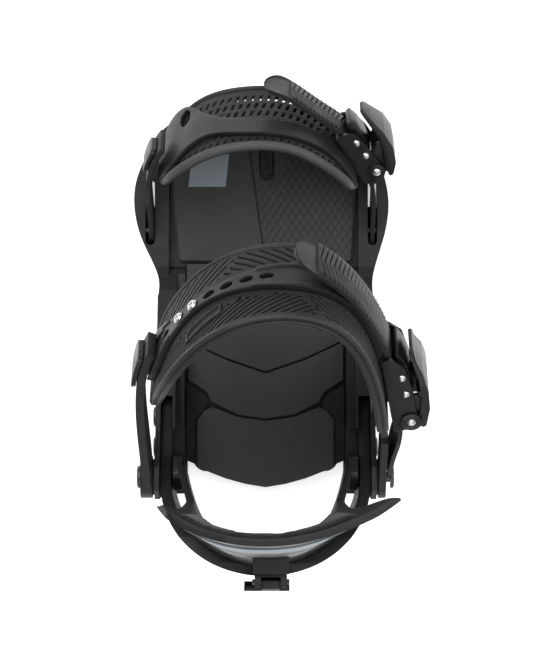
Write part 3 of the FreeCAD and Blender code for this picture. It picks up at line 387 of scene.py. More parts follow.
def settle(piece):
    """Move an object's place, turn and scale into its mesh."""
    choose(piece)
    bpy.ops.object.transform_apply(location=True, rotation=True, scale=True)


def coordinates(piece):
    """All of a mesh's points, as rows of x, y, z."""
    flat = np.empty(len(piece.data.vertices) * 3)
    piece.data.vertices.foreach_get("co", flat)
    return flat.reshape(-1, 3)


def move_points(piece, points):
    """Put a mesh's points at new places."""
    piece.data.vertices.foreach_set("co", np.ascontiguousarray(points).ravel())
    piece.data.update()


def lift(piece, rise, along=0.0):
    """Shift a flat piece up, and along its strap."""
    points = coordinates(piece)
    points[:, 2] += rise
    points[:, 0] += along
    move_points(piece, points)


def finish_with(piece, kind, **values):
    """Add a modifier and apply it."""
    choose(piece)
    modifier = piece.modifiers.new(kind.title(), kind)
    for key, value in values.items():
        setattr(modifier, key, value)
    bpy.ops.object.modifier_apply(modifier=modifier.name)


def smooth(piece, degrees=40.0):
    """Shade smooth, apart from edges that turn by more than an angle."""
    choose(piece)
    bpy.ops.object.shade_smooth_by_angle(angle=math.radians(degrees))


def round_edges(piece, width, segments=2, sharper_than=50.0):
    """Round the edges that turn by more than an angle."""
    finish_with(piece, "BEVEL", width=width, segments=segments, limit_method="ANGLE",
                angle_limit=math.radians(sharper_than))


def merge_and_face_out(piece):
    """Merge doubled points and turn the faces outwards."""
    edit(piece, "VERT")
    bpy.ops.mesh.select_all(action="SELECT")
    bpy.ops.mesh.remove_doubles(threshold=0.01 * MM)
    bpy.ops.mesh.normals_make_consistent(inside=False)
    done()


def hand_over(piece, body, finish, slot, *replaces):
    """Finish a piece: material, body and the CAD nodes that it stands for; the slot is not used."""
    paint(piece, finish)
    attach(piece, body)
    if replaces:
        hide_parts(*replaces)


class StrapLine:
    """A strap's line in x and u, smooth through its points, measured by its own length."""

    def __init__(self, points, pivot, tilt):
        self.pivot = pivot
        self.tilt = tilt
        knots = np.array(points, float) * MM
        at = np.concatenate([[0.0], np.cumsum(np.linalg.norm(np.diff(knots, axis=0), axis=1))])
        fine = np.linspace(0.0, at[-1], 1200)
        self.points = np.stack([natural_spline(at, knots[:, axis], fine) for axis in (0, 1)], axis=1)
        steps = np.linalg.norm(np.diff(self.points, axis=0), axis=1)
        self.at = np.concatenate([[0.0], np.cumsum(steps)])
        self.length = self.at[-1]
        along = np.gradient(self.points, axis=0)
        along /= np.linalg.norm(along, axis=1)[:, None]
        self.outward = np.stack([-along[:, 1], along[:, 0]], axis=1)

    def length_at(self, x):
        """Length from the left end to the first point at one x, given in millimetres."""
        beyond = np.nonzero(self.points[:, 0] >= x * MM)[0]
        return self.at[beyond[0]]

    def place(self, flat):
        """Carry flat points (along, towards the toe, out) onto the strap."""
        s = np.clip(flat[:, 0], 0.0, self.length)
        x = np.interp(s, self.at, self.points[:, 0]) + flat[:, 2] * np.interp(s, self.at, self.outward[:, 0])
        u = np.interp(s, self.at, self.points[:, 1]) + flat[:, 2] * np.interp(s, self.at, self.outward[:, 1])
        w = -flat[:, 1]
        y = self.pivot.y + u * math.cos(self.tilt) - w * math.sin(self.tilt)
        z = self.pivot.z + u * math.sin(self.tilt) + w * math.cos(self.tilt)
        return np.stack([x, y, z], axis=1)


def natural_spline(at, values, wanted):
    """Cubic spline through values, with free ends."""
    gaps = np.diff(at)
    count = len(at)
    system = np.eye(count)
    target = np.zeros(count)
    for i in range(1, count - 1):
        system[i, i - 1:i + 2] = gaps[i - 1], 2 * (gaps[i - 1] + gaps[i]), gaps[i]
        target[i] = 6 * ((values[i + 1] - values[i]) / gaps[i] - (values[i] - values[i - 1]) / gaps[i - 1])
    bend = np.linalg.solve(system, target)
    i = np.clip(np.searchsorted(at, wanted) - 1, 0, count - 2)
    left = wanted - at[i]
    right = at[i + 1] - wanted
    return ((bend[i] * right ** 3 + bend[i + 1] * left ** 3) / (6 * gaps[i])
            + (values[i] / gaps[i] - bend[i] * gaps[i] / 6) * right
            + (values[i + 1] / gaps[i] - bend[i + 1] * gaps[i] / 6) * left)


ANKLE = StrapLine(ANKLE_LINE, ANKLE_PIVOT, STRAP_TILT)
TOE = StrapLine(TOE_LINE, TOE_PIVOT, STRAP_TILT)
ANKLE_LADDER = StrapLine(ANKLE_LADDER_LINE, ANKLE_PIVOT, STRAP_TILT)
TOE_LADDER = StrapLine(TOE_LADDER_LINE, TOE_PIVOT, TOE_LADDER_TILT)


def profile(table):
    """Smooth function through (place, value) rows given in millimetres."""
    at = np.array([row[0] for row in table], float) * MM
    value = np.array([row[1] for row in table], float) * MM
    return lambda wanted: natural_spline(at, value, np.clip(wanted, at[0], at[-1]))


def shape_width(piece, front, rear):
    """Pull a flat panel of y from -1 to 1 out to its front and rear outlines."""
    points = coordinates(piece)
    share = points[:, 1]
    reach = np.where(share >= 0, front(points[:, 0]), rear(points[:, 0]))
    points[:, 1] = share * reach
    move_points(piece, points)


def wrap(piece, line):
    """Bend a finished flat piece onto its strap's line."""
    move_points(piece, line.place(coordinates(piece)))
    merge_and_face_out(piece)


def thicken(piece, depth):
    """Extrude a whole flat panel down into a closed slab."""
    edit(piece)
    bpy.ops.mesh.select_all(action="SELECT")
    bpy.ops.mesh.extrude_region_move(TRANSFORM_OT_translate={"value": (0, 0, -depth)})
    bpy.ops.mesh.select_all(action="SELECT")
    bpy.ops.mesh.normals_make_consistent(inside=False)
    done()


def thicken_under(piece, depth):
    """Close a panel that already has raised or sunk parts: extrude it all, then level the underside."""
    thicken(piece, depth * 3)
    points = coordinates(piece)
    points[points[:, 2] < -depth * 1.5, 2] = -depth
    move_points(piece, points)
    edit(piece)
    bpy.ops.mesh.select_all(action="SELECT")
    bpy.ops.mesh.normals_make_consistent(inside=False)
    done()


def hole_in(piece, x, y, half_length, half_width):
    """Cut an oval hole straight through a flat slab."""
    deselect_all()
    bpy.ops.mesh.primitive_cylinder_add(vertices=20, radius=1.0, depth=40 * MM, location=(x, y, 0))
    cutter = bpy.context.object
    cutter.scale = (half_length, half_width, 1.0)
    settle(cutter)
    finish_with(piece, "BOOLEAN", object=cutter, operation="DIFFERENCE", solver="EXACT")
    bpy.data.objects.remove(cutter)


def cut_stripes(piece, zone, starts, direction, width):
    """Cut both edges of straight stripes across the faces of a zone."""
    across = Vector((-direction.y, direction.x, 0.0))
    for start in starts:
        for shift in (-width / 2, width / 2):
            pick_faces(piece, lambda centre, normal: zone(centre))
            bpy.ops.mesh.bisect(plane_co=start + across * shift, plane_no=across)


def on_stripe(centre, starts, direction, width):
    """Whether a place lies on one of the stripes."""
    across = Vector((-direction.y, direction.x, 0.0))
    return any(abs((centre - start).dot(across)) < width / 2 for start in starts)


def bead(name, line, outline, radius, body, finish, cyclic=True):
    """Round bead that follows an outline on a strap."""
    deselect_all()
    bpy.ops.curve.primitive_nurbs_path_add()
    path = bpy.context.object
    path.name = name
    path.data.splines.clear()
    spline = path.data.splines.new("NURBS")
    placed = line.place(np.array(outline, float))
    spline.points.add(len(placed) - 1)
    for point, place in zip(spline.points, placed):
        point.co = (*place, 1.0)
    spline.order_u = 4
    spline.use_cyclic_u = cyclic
    spline.use_endpoint_u = not cyclic
    path.data.resolution_u = 4
    path.data.bevel_depth = radius
    path.data.bevel_resolution = 4
    path.data.use_fill_caps = True
    choose(path)
    bpy.ops.object.convert(target="MESH")
    piece = bpy.context.object
    merge_and_face_out(piece)
    smooth(piece, 60.0)
    hand_over(piece, body, finish, "strap_pad")


CLOTH_STEPS = 20


def inflate(piece, voxel, pressure, cap, name):
    """Blow a foam piece up a little with the cloth solver and keep the result; no point moves past the cap."""
    finish_with(piece, "REMESH", mode="VOXEL", voxel_size=voxel)
    start = coordinates(piece)
    cloth = piece.modifiers.new("Cloth", "CLOTH")
    cloth.settings.use_pressure = True
    cloth.settings.uniform_pressure_force = pressure
    cloth.settings.effector_weights.gravity = 0.0
    cloth.settings.quality = 4
    scene = bpy.context.scene
    for step in range(1, CLOTH_STEPS + 1):
        scene.frame_set(step)
    choose(piece)
    bpy.ops.object.modifier_apply(modifier=cloth.name)
    scene.frame_set(1)
    moved = coordinates(piece) - start
    reach = np.linalg.norm(moved, axis=1)[:, None]
    move_points(piece, start + moved * np.minimum(1.0, cap / np.maximum(reach, 1e-9)))
    finish_with(piece, "SUBSURF", levels=1, render_levels=1)
    choose(piece)
    bpy.ops.object.shade_smooth()
    piece.name = name


def copy_of(node, name):
    """A merged copy of a CAD node's mesh, ready to be worked on."""
    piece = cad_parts[node].copy()
    piece.data = piece.data.copy()
    for key in list(piece.keys()):
        del piece[key]
    piece.parent = None
    piece.name = name
    piece.hide_render = False
    piece.hide_viewport = False
    bpy.context.scene.collection.objects.link(piece)
    edit(piece, "VERT")
    bpy.ops.mesh.select_all(action="SELECT")
    bpy.ops.mesh.customdata_custom_splitnormals_clear()
    bpy.ops.mesh.remove_doubles(threshold=0.005 * MM)
    bpy.ops.mesh.dissolve_limited(angle_limit=math.radians(0.6))
    done()
    return piece


# ---------------------------------------------------------------- ankle strap

# Half widths of the pad, towards the toe and towards the heel: rows of (place along the strap, width)
ANKLE_FRONT = profile(((11, 10), (15, 18), (22, 24), (34, 28), (50, 31), (66, 32), (150, 32), (228, 32), (250, 30.5),
                       (268, 27), (282, 21), (290, 14), (294, 9)))
ANKLE_REAR = profile(((11, 1), (15, 3.5), (20, 8), (30, 17.5), (41, 25), (50, 28.5), (60, 31), (72, 32), (150, 32),
                      (228, 32), (250, 30.5), (268, 28), (282, 24), (290, 18), (294, 11)))
ANKLE_START = 11.0 * MM              # where the pad starts on the strap's line
SKIN_DEPTH = 3.6 * MM
SKIN_DROP = 0.5 * MM                 # the skin's face, below the strap's line
RIB_ZONE = (10.5 * MM, 28.5 * MM)    # edges of the ribbed zones, from the pad's middle line
RIB_END = 262 * MM
RIB_TURNS = (34.0, -36.0)            # degrees between the ribs and the strap, inner and outer half
REAR_RIBS = 0.72                     # pitch of the ribs towards the heel, as a share of the others
CUSHION_INSET = 2.2 * MM
CUSHION_DEPTH = 3.2 * MM
CUSHION_DROP = 4.2 * MM
WINDOW_X = -34.6                     # x of the framed window's middle, in millimetres
WINDOW_SIZE = (26 * MM, 8.5 * MM)
WINDOW_SLANT = 0.24
WINDOW_REAR = 16 * MM                # from the pad's middle line to the window's
ANKLE_BEADS = (                      # name, inset from the edge, height, share of the bead's radius
    ("ankle_pad_bead", 1.2, -1.2, 1.0),
    ("ankle_pad_hem", 1.4, -4.6, 1.1),
)


def ridge_row(share):
    """Rows of the pad's grid, crowded towards both rims."""
    return math.copysign(abs(share) ** 0.82, share)


def rib_zones(pitch):
    """The four ribbed zones: direction of the grooves, where they start, and a test for a place in the zone."""
    left, right = (Vector((math.cos(turn), math.sin(turn), 0)) for turn in map(math.radians, RIB_TURNS))
    near, far = RIB_ZONE
    front = ANKLE.length_at(6.0) - 20 * MM
    rear = ANKLE.length_at(6.0) + 14 * MM
    return (
        (left, [Vector((front - (k + 0.3) * pitch - 17 * MM, 10 * MM, 0)) for k in range(14)],
         lambda c: near < c.y < far and 26 * MM < c.x < front + 1.1 * (c.y - 29 * MM)),
        (right, [Vector((front + k * pitch, 19 * MM, 0)) for k in range(-3, 18)],
         lambda c: near < c.y < far and front + 1.1 * (c.y - 27 * MM) < c.x < RIB_END),
        (left, [Vector((rear - (k + 0.2) * pitch * REAR_RIBS, -10 * MM, 0)) for k in range(-6, 22)],
         lambda c: -far < c.y < -near and 46 * MM < c.x < rear - 0.6 * (c.y + 12 * MM)),
        (right, [Vector((rear + (k + 0.6) * pitch * REAR_RIBS, -10 * MM, 0)) for k in range(-4, 21)],
         lambda c: -far < c.y < -near and rear - 0.6 * (c.y + 7 * MM) < c.x < RIB_END),
    )


def ankle_outline(inset, height):
    """Points round the ankle pad: out along its front edge and back along its rear."""
    along = np.linspace(ANKLE_START + 1.5 * MM, ANKLE.length - 2.0 * MM, 56)
    return ([(s, ANKLE_FRONT(s) - inset, height) for s in along]
            + [(s, inset - ANKLE_REAR(s), height) for s in along[::-1]])


def ankle_skin(size):
    """Moulded skin of the pad, with its slanted grooves sunk into it."""
    skin = panel("ankle_pad_skin", ANKLE.length - ANKLE_START, 2.0, 110, 12)
    points = coordinates(skin)
    points[:, 0] += ANKLE_START
    points[:, 1] = [ridge_row(share) for share in points[:, 1]]
    move_points(skin, points)
    shape_width(skin, ANKLE_FRONT, ANKLE_REAR)
    zones = rib_zones(size.rib_pitch)
    edit(skin)
    for direction, starts, zone in zones:
        cut_stripes(skin, zone, starts, direction, size.groove_width)
    pick_faces(skin, lambda centre, normal: any(
        zone(centre) and on_stripe(centre, starts, direction, size.groove_width)
        for direction, starts, zone in zones))
    bpy.ops.mesh.extrude_region_move(TRANSFORM_OT_translate={"value": (0, 0, -size.groove_depth)})
    done()
    thicken_under(skin, SKIN_DEPTH)
    lift(skin, -SKIN_DROP)
    wrap(skin, ANKLE)
    smooth(skin, 30.0)
    hand_over(skin, "ankle_strap", "strap", "strap_pad", "ankle_pad")


def ankle_cushion():
    """Foam cushion behind the skin."""
    cushion = panel("ankle_cushion_blank", ANKLE.length - ANKLE_START - 8 * MM, 2.0, 60, 10)
    lift(cushion, 0.0, ANKLE_START + 5 * MM)
    shape_width(cushion, lambda s: ANKLE_FRONT(s) - CUSHION_INSET, lambda s: ANKLE_REAR(s) - CUSHION_INSET)
    thicken(cushion, CUSHION_DEPTH)
    lift(cushion, -CUSHION_DROP)
    wrap(cushion, ANKLE)
    inflate(cushion, 4.0 * MM, 4.0, 1.6 * MM, "ankle_pad_cushion")
    hand_over(cushion, "ankle_strap", "cushion", "strap_pad")


def ankle_window():
    """Slanted frame with a sunk panel, beside the load band."""
    window = panel("ankle_pad_window", *WINDOW_SIZE, 6, 2)
    middle = ANKLE.length_at(WINDOW_X)
    points = coordinates(window)
    points[:, 0] += middle - WINDOW_SIZE[0] / 2
    points[:, 1] += WINDOW_SLANT * (points[:, 0] - middle) - WINDOW_REAR
    move_points(window, points)
    edit(window)
    bpy.ops.mesh.select_all(action="SELECT")
    bpy.ops.mesh.inset(thickness=1.3 * MM)
    bpy.ops.mesh.extrude_region_move(TRANSFORM_OT_translate={"value": (0, 0, -1.2 * MM)})
    done()
    thicken_under(window, 1.9 * MM)
    lift(window, 0.6 * MM)
    wrap(window, ANKLE)
    round_edges(window, 0.3 * MM)
    smooth(window)
    hand_over(window, "ankle_strap", "band", "strap_pad")


class BINDING_OT_ankle_pad(bpy.types.Operator):
    """Ribbed ankle pad: skin with slanted grooves, two beads round it, the cushion behind it and the window"""

    bl_idname = "binding.ankle_pad"
    bl_label = "Ankle pad"

    def execute(self, context):
        size = sizes()
        ankle_skin(size)
        for name, inset, height, share in ANKLE_BEADS:
            bead(name, ANKLE, ankle_outline(inset * MM, height * MM), size.rim_radius * share, "ankle_strap",
                 "dark_rim")
        ankle_cushion()
        ankle_window()
        return {"FINISHED"}


BAND_LENGTH = 222 * MM
BAND_START = -63.0                   # x where the band starts, in millimetres
BAND_DEPTH = 2.9 * MM
BAND_RISE = 3.0 * MM                 # the band's face, above the strap's line
BAND_LIP = (6.6 * MM, 0.9 * MM)      # where the raised lips start, from the middle, and their height
BAND_HOLES = (-59, -53, -45.5, -38.0, -29.5, -20.2, -9.8, 1.0)  # x of each hole, in millimetres
HOLE_SIZE = (3.9 * MM, 2.6 * MM)     # half length and half width
BAND_FRONT = profile(((0, 5), (3, 9.3), (30, 9.6), (110, 9.6), (150, 9.4), (186, 9.0), (206, 7.0), (226, 5.0)))
BAND_REAR = profile(((0, 5), (3, 8.6), (30, 9.3), (110, 9.3), (150, 9.6), (186, 10.5), (206, 10.0), (226, 7.0)))


class BINDING_OT_ankle_band(bpy.types.Operator):
    """Perforated load band over the ankle pad, with raised lips"""

    bl_idname = "binding.ankle_band"
    bl_label = "Ankle load band"

    def execute(self, context):
        start = ANKLE.length_at(BAND_START)
        band = panel("ankle_load_band", BAND_LENGTH, 2.0, 96, 8)
        shape_width(band, BAND_FRONT, BAND_REAR)
        lip_from, lip_height = BAND_LIP
        edit(band)
        pick_faces(band, lambda centre, normal: abs(centre.y) > lip_from)
        bpy.ops.mesh.extrude_region_move(TRANSFORM_OT_translate={"value": (0, 0, lip_height)})
        done()
        thicken_under(band, BAND_DEPTH)
        for x in BAND_HOLES:
            hole_in(band, ANKLE.length_at(x) - start, 0.0, *HOLE_SIZE)
        lift(band, BAND_RISE, start)
        wrap(band, ANKLE)
        round_edges(band, 0.45 * MM)
        smooth(band)
        hand_over(band, "ankle_strap", "band", "band", "ankle_frame")
        return {"FINISHED"}


# ---------------------------------------------------------------- ladders

# One tooth, as rows from its start to its end: share of the pitch on the grid, height, and place in the pitch
TOOTH_ROWS = (0.0, 0.2, 0.4, 0.6, 0.8, 1.0)
TOOTH_HEIGHTS = (-0.8, -0.8, 0.5, 0.85, 1.1, -0.8)
TOOTH_PLACES = (0.0, 0.16, 0.28, 0.6, 0.94, 1.0)
TOOTH_EDGE = 0.95                    # share of the ladder's half width that the teeth cover
TOOTH_FADE = 4 * MM                  # length over which the teeth straighten at both ends of the row
LADDER_DEPTH = 2.6 * MM
LADDER_RISE = 1.3 * MM
LADDER_SHIFT = 2.0 * MM              # sideways, to the middle of the buckle
LADDER_FOOT = 30 * MM                # length of the narrower foot below the buckle
FOOT_WIDTH = 0.72                    # share of the width at the end of the foot


def row_of_teeth(name, first, count, size):
    """Saw teeth, modelled once and repeated along a strip whose y runs from -1 to 1."""
    strip = panel(name, size.tooth_pitch, 2.0, 5, 12)
    points = coordinates(strip)
    share = points[:, 0] / size.tooth_pitch
    height = np.interp(share, TOOTH_ROWS, TOOTH_HEIGHTS) * size.tooth_height
    points[:, 2] = np.where(np.abs(points[:, 1]) < TOOTH_EDGE, height, 0.0)
    points[:, 0] = np.interp(share, TOOTH_ROWS, TOOTH_PLACES) * size.tooth_pitch
    move_points(strip, points)
    finish_with(strip, "ARRAY", count=count, use_relative_offset=False, use_constant_offset=True,
                constant_offset_displace=(size.tooth_pitch, 0, 0), use_merge_vertices=True,
                merge_threshold=0.02 * MM)
    lift(strip, 0.0, first)
    return strip


def toothed_strip(name, line, half_width, first, last, tip_radius, body, node):
    """Ladder strap: swept saw teeth between a round plain tip and a plain foot."""
    size = sizes()
    count = int((last - first) / size.tooth_pitch)
    end = first + count * size.tooth_pitch
    strip = row_of_teeth(name, first, count, size)
    edit(strip, "EDGE")
    for stop, here in ((0.1 * MM, first), (line.length - 0.6 * MM, end)):
        steps = max(4, int(abs(stop - here) / (1.2 * MM)))
        for step in range(steps):
            pick_end_edges(strip, here + (stop - here) * step / steps)
            bpy.ops.mesh.extrude_edges_move(
                TRANSFORM_OT_translate={"value": ((stop - here) / steps, 0, 0)})
    done()
    points = coordinates(strip)
    inside = (points[:, 0] > first - 0.01 * MM) & (points[:, 0] < end + 0.01 * MM)
    fade = np.minimum(1.0, np.minimum(points[:, 0] - first, end - points[:, 0]) / TOOTH_FADE)
    points[:, 0] -= size.tooth_sweep * (0.5 - np.abs(points[:, 1])) * np.where(inside, np.clip(fade, 0, 1), 0.0)
    tip = np.sqrt(np.clip(1.0 - np.clip(1.0 - points[:, 0] / tip_radius, 0, 1) ** 2, 0.001, 1.0))
    foot = np.interp(points[:, 0], (line.length - LADDER_FOOT, line.length), (1.0, FOOT_WIDTH))
    points[:, 1] *= half_width * tip * foot
    move_points(strip, points)
    thicken_under(strip, LADDER_DEPTH)
    points = coordinates(strip)
    points[:, 2] += LADDER_RISE
    points[:, 1] += LADDER_SHIFT
    move_points(strip, points)
    wrap(strip, line)
    smooth(strip, 25.0)
    hand_over(strip, body, "ladder", "ladder", node)


def pick_end_edges(piece, x):
    """In edit mode, select the open edges that lie across a strip at one place along it."""
    bpy.ops.mesh.select_all(action="DESELECT")
    mesh = bmesh.from_edit_mesh(piece.data)
    for line in mesh.edges:
        across = all(abs(corner.co.x - x) < 0.05 * MM for corner in line.verts)
        if line.is_boundary and across:
            line.select_set(True)
    bmesh.update_edit_mesh(piece.data)


class BINDING_OT_ladders(bpy.types.Operator):
    """Toothed ladder straps of the ankle and the toe"""

    bl_idname = "binding.ladders"
    bl_label = "Ladders"

    def execute(self, context):
        toothed_strip("ankle_ladder_strap", ANKLE_LADDER, 14.2 * MM, 13 * MM, 128 * MM, 12 * MM, "ankle_strap",
                      "ankle_ladder")
        toothed_strip("toe_ladder_strap", TOE_LADDER, 11.6 * MM, 15 * MM, 82 * MM, 11 * MM, "toe_strap",
                      "toe_ladder")
        return {"FINISHED"}


# ---------------------------------------------------------------- toe strap

# Half widths of the cap, towards the toe and towards the heel
TOE_FRONT = profile(((0, 8), (6, 14), (13, 22), (21, 29), (30, 33.5), (40, 35), (75, 35), (106, 35), (118, 32),
                     (128, 26), (138, 17), (146, 10), (150, 6)))
TOE_REAR = profile(((0, 8), (6, 16), (16, 22), (28, 25), (40, 26), (75, 26), (112, 26), (126, 25), (138, 22),
                    (146, 16), (150, 9)))
CAP_DEPTH = 2.6 * MM
CAP_DROP = 0.6 * MM
SLOT_REACH = 0.84                    # share of the half width that the slots cover
SLOT_ENDS = 14 * MM                  # plain part at each end of the cap
SLOT_LEAN = 12 * MM                  # how far the front of the lattice lies ahead of its middle
LEAN_FADE = 16 * MM
LINING_END = 12 * MM
LINING_REACH = (0.62, 0.88)          # shares of the front and rear half widths that the lining covers
TOE_RIMS = (                         # name, outline, side, inset, height, radius, finish
    ("toe_cap_rear_rim", TOE_REAR, -1, 1.6, -0.6, 2.5, "rim"),
    ("toe_cap_front_rim", TOE_FRONT, 1, 1.2, -0.8, 1.5, "dark_rim"),
)


class BINDING_OT_toe_cap(bpy.types.Operator):
    """Slotted toe cap with a lining, a thick rear rim and a thin front rim"""

    bl_idname = "binding.toe_cap"
    bl_label = "Toe cap"

    def execute(self, context):
        cap = panel("toe_cap_skin", TOE.length, 2.0, 32, 9)
        edit(cap)
        pick_faces(cap, lambda centre, normal: abs(centre.y) < SLOT_REACH
                   and SLOT_ENDS < centre.x < TOE.length - SLOT_ENDS)
        done()
        points = coordinates(cap)
        lean = np.clip(np.minimum(points[:, 0], TOE.length - points[:, 0]) / LEAN_FADE, 0, 1)
        points[:, 0] += lean * SLOT_LEAN * points[:, 1]
        move_points(cap, points)
        shape_width(cap, TOE_FRONT, TOE_REAR)
        edit(cap)
        bpy.ops.mesh.inset(thickness=sizes().slot_wall, use_individual=True)
        bpy.ops.mesh.delete(type="FACE")
        done()
        lift(cap, -CAP_DROP)
        wrap(cap, TOE)
        finish_with(cap, "SOLIDIFY", thickness=CAP_DEPTH, offset=-1.0, use_even_offset=False)
        round_edges(cap, 0.35 * MM)
        smooth(cap)
        hand_over(cap, "toe_strap", "strap", "strap_pad", "toe_cap_pad")

        lining = panel("toe_cap_lining", TOE.length - 2 * LINING_END, 2.0, 40, 8)
        lift(lining, 0.0, LINING_END)
        to_front, to_rear = LINING_REACH
        shape_width(lining, lambda s: to_front * TOE_FRONT(s), lambda s: to_rear * TOE_REAR(s))
        thicken(lining, 0.9 * MM)
        lift(lining, -3.4 * MM)
        wrap(lining, TOE)
        smooth(lining)
        hand_over(lining, "toe_strap", "cushion", "strap_pad")

        along = np.linspace(1.5 * MM, TOE.length - 1.5 * MM, 40)
        for name, outline, side, inset, height, radius, finish in TOE_RIMS:
            edge = [(s, side * (outline(s) - inset * MM), height * MM) for s in along]
            bead(name, TOE, edge, radius * MM, "toe_strap", finish, cyclic=False)
        return {"FINISHED"}


TOE_BAND_FRONT = profile(((0, 9), (6, 17), (14, 27), (22, 31), (30, 29), (38, 19), (46, 11), (58, 7.4), (80, 6.8),
                          (104, 6.5), (122, 5), (140, 2)))
TOE_BAND_REAR = profile(((0, 9), (6, 15), (12, 18.5), (20, 17), (30, 12), (42, 8.2), (58, 7), (84, 7), (104, 8),
                         (122, 12), (136, 17), (145, 19)))
TOE_BAND_SHIFT = profile(((0, 0), (30, 0), (44, -2.5), (60, -7.5), (80, -9.4), (100, -8), (122, -2.5), (145, 0)))
TOE_BAND_LENGTH = 142 * MM
TOE_BAND_START = 2.0 * MM
TOE_BAND_DEPTH = 2.6 * MM
TOE_BAND_RISE = 2.9 * MM
TOE_BAND_HOLE = (28 * MM, 18.5 * MM, 3.8 * MM, 8.0 * MM)  # place along and across, half length and half width


class BINDING_OT_toe_band(bpy.types.Operator):
    """Load band over the toe cap; it widens into a shield at the inner end"""

    bl_idname = "binding.toe_band"
    bl_label = "Toe load band"

    def execute(self, context):
        band = panel("toe_load_band", TOE_BAND_LENGTH, 2.0, 72, 10)
        shape_width(band, TOE_BAND_FRONT, TOE_BAND_REAR)
        points = coordinates(band)
        points[:, 1] += TOE_BAND_SHIFT(points[:, 0])
        move_points(band, points)
        thicken(band, TOE_BAND_DEPTH)
        hole_in(band, *TOE_BAND_HOLE)
        lift(band, TOE_BAND_RISE, TOE_BAND_START)
        wrap(band, TOE)
        round_edges(band, 0.7 * MM, 3)
        smooth(band)
        hand_over(band, "toe_strap", "band", "band", "toe_cap_frame")
        return {"FINISHED"}


# ---------------------------------------------------------------- padding

FOOTBED_PADS = (                     # CAD node, body, finish
    ("toe_pad_medial", "toe_ramp", "footbed"),
    ("toe_pad_lateral", "toe_ramp", "footbed_hatched"),
    ("mid_pad", "chassis", "footbed"),
    ("heel_pad_centre", "chassis", "footbed"),
    ("heel_pad_rear", "chassis", "footbed"),
)
PATCH_SIZE = (22.5 * MM, 21 * MM)
PATCH_INSET = 10.5 * MM              # from the inner toe pad's edge to the patch
PATCH_Y = 78.5 * MM
PATCH_LEAN = 0.12
PAD_TOP = 14.05 * MM                 # top of the toe pads where they start to rise
RISE_FROM = 58 * MM                  # y where they start to rise
RISE = 4.0 / 46.0
SLOT_PADS = (("medial", -69.3), ("lateral", 64.3))  # side and x, in millimetres
SLOT_PAD_PLACE = (44.6 * MM, 0.8 * MM)
SLOT_PAD_SIZE = (6.6 * MM, 24.4 * MM, 1.2 * MM)


class BINDING_OT_footbed(bpy.types.Operator):
    """Foam footbed pads with eased edges, the crosshatched outer pad and a blank printed patch"""

    bl_idname = "binding.footbed"
    bl_label = "Footbed pads"

    def execute(self, context):
        for node, body, finish in FOOTBED_PADS:
            pad = copy_of(node, node + "_foam")
            round_edges(pad, 0.8 * MM, 3, 40.0)
            smooth(pad)
            hand_over(pad, body, finish, "footbed", node)
        inner_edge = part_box("toe_pad_medial")[0].x
        patch = panel("footbed_patch", *PATCH_SIZE, 10, 10)
        points = coordinates(patch)
        points[:, 0] += PATCH_LEAN * points[:, 1] + inner_edge + PATCH_INSET
        points[:, 1] += PATCH_Y
        points[:, 2] += PAD_TOP + np.clip(points[:, 1] - RISE_FROM, 0, None) * RISE
        move_points(patch, points)
        finish_with(patch, "SOLIDIFY", thickness=0.35 * MM, offset=1.0)
        smooth(patch, 35.0)
        hand_over(patch, "toe_ramp", "patch", "accent")
        return {"FINISHED"}


class BINDING_OT_slot_pads(bpy.types.Operator):
    """Thin rubber pads under the toe flanges, below the rear end of the strap slots"""

    bl_idname = "binding.slot_pads"
    bl_label = "Slot pads"

    def execute(self, context):
        for side, x in SLOT_PADS:
            deselect_all()
            bpy.ops.mesh.primitive_cube_add(size=1.0, location=(x * MM, *SLOT_PAD_PLACE))
            pad = bpy.context.object
            pad.name = "slot_pad_" + side
            pad.scale = SLOT_PAD_SIZE
            settle(pad)
            round_edges(pad, 0.3 * MM)
            smooth(pad)
            hand_over(pad, "chassis", "bushing", "bushing")
        return {"FINISHED"}


class BINDING_OT_highback_liner(bpy.types.Operator):
    """Foam liner on the inside of the highback"""

    bl_idname = "binding.highback_liner"
    bl_label = "Highback liner"

    def execute(self, context):
        liner = copy_of("highback_liner", "highback_liner_blank")
        inflate(liner, 1.8 * MM, 3.0, 0.8 * MM, "highback_liner_foam")
        hand_over(liner, "highback", "liner", "liner", "highback_liner")
        return {"FINISHED"}


# ---------------------------------------------------------------- hard pieces

KEPT_FINISHES = {
    "nylon": ("base_plate", "toe_ramp", "toe_ramp_loop", "heelcup", "lean_rack", "lean_block",
              "ankle_connector", "ankle_side_link", "toe_connector", "mounting_disc"),
    "nylon_back": ("highback_shell",),
    "bushing": ("heel_tray", "base_bushing_front", "base_bushing_rear", "ankle_washers"),
    "dark_steel": ("heelcup_bolts", "highback_pivot_bolts", "ankle_pivot_bolts", "toe_strap_pins", "lean_pin"),
    "steel": ("ankle_screws", "ankle_buckle_pins", "ankle_drive_pawl", "toe_buckle_pins", "toe_drive_pawl"),
    "buckle": ("ankle_buckle_frame", "toe_buckle_frame"),
    "lever": ("lean_lever", "ankle_lever", "ankle_release", "ankle_adjuster", "toe_lever", "toe_release",
              "toe_adjuster"),
    "patch": ("highback_accent",),
}
REPLACED_NODES = ("ankle_pad", "ankle_frame", "ankle_ladder", "toe_cap_pad", "toe_cap_frame", "toe_ladder",
                  "toe_pad_medial", "toe_pad_lateral", "mid_pad", "heel_pad_centre", "heel_pad_rear",
                  "highback_liner")
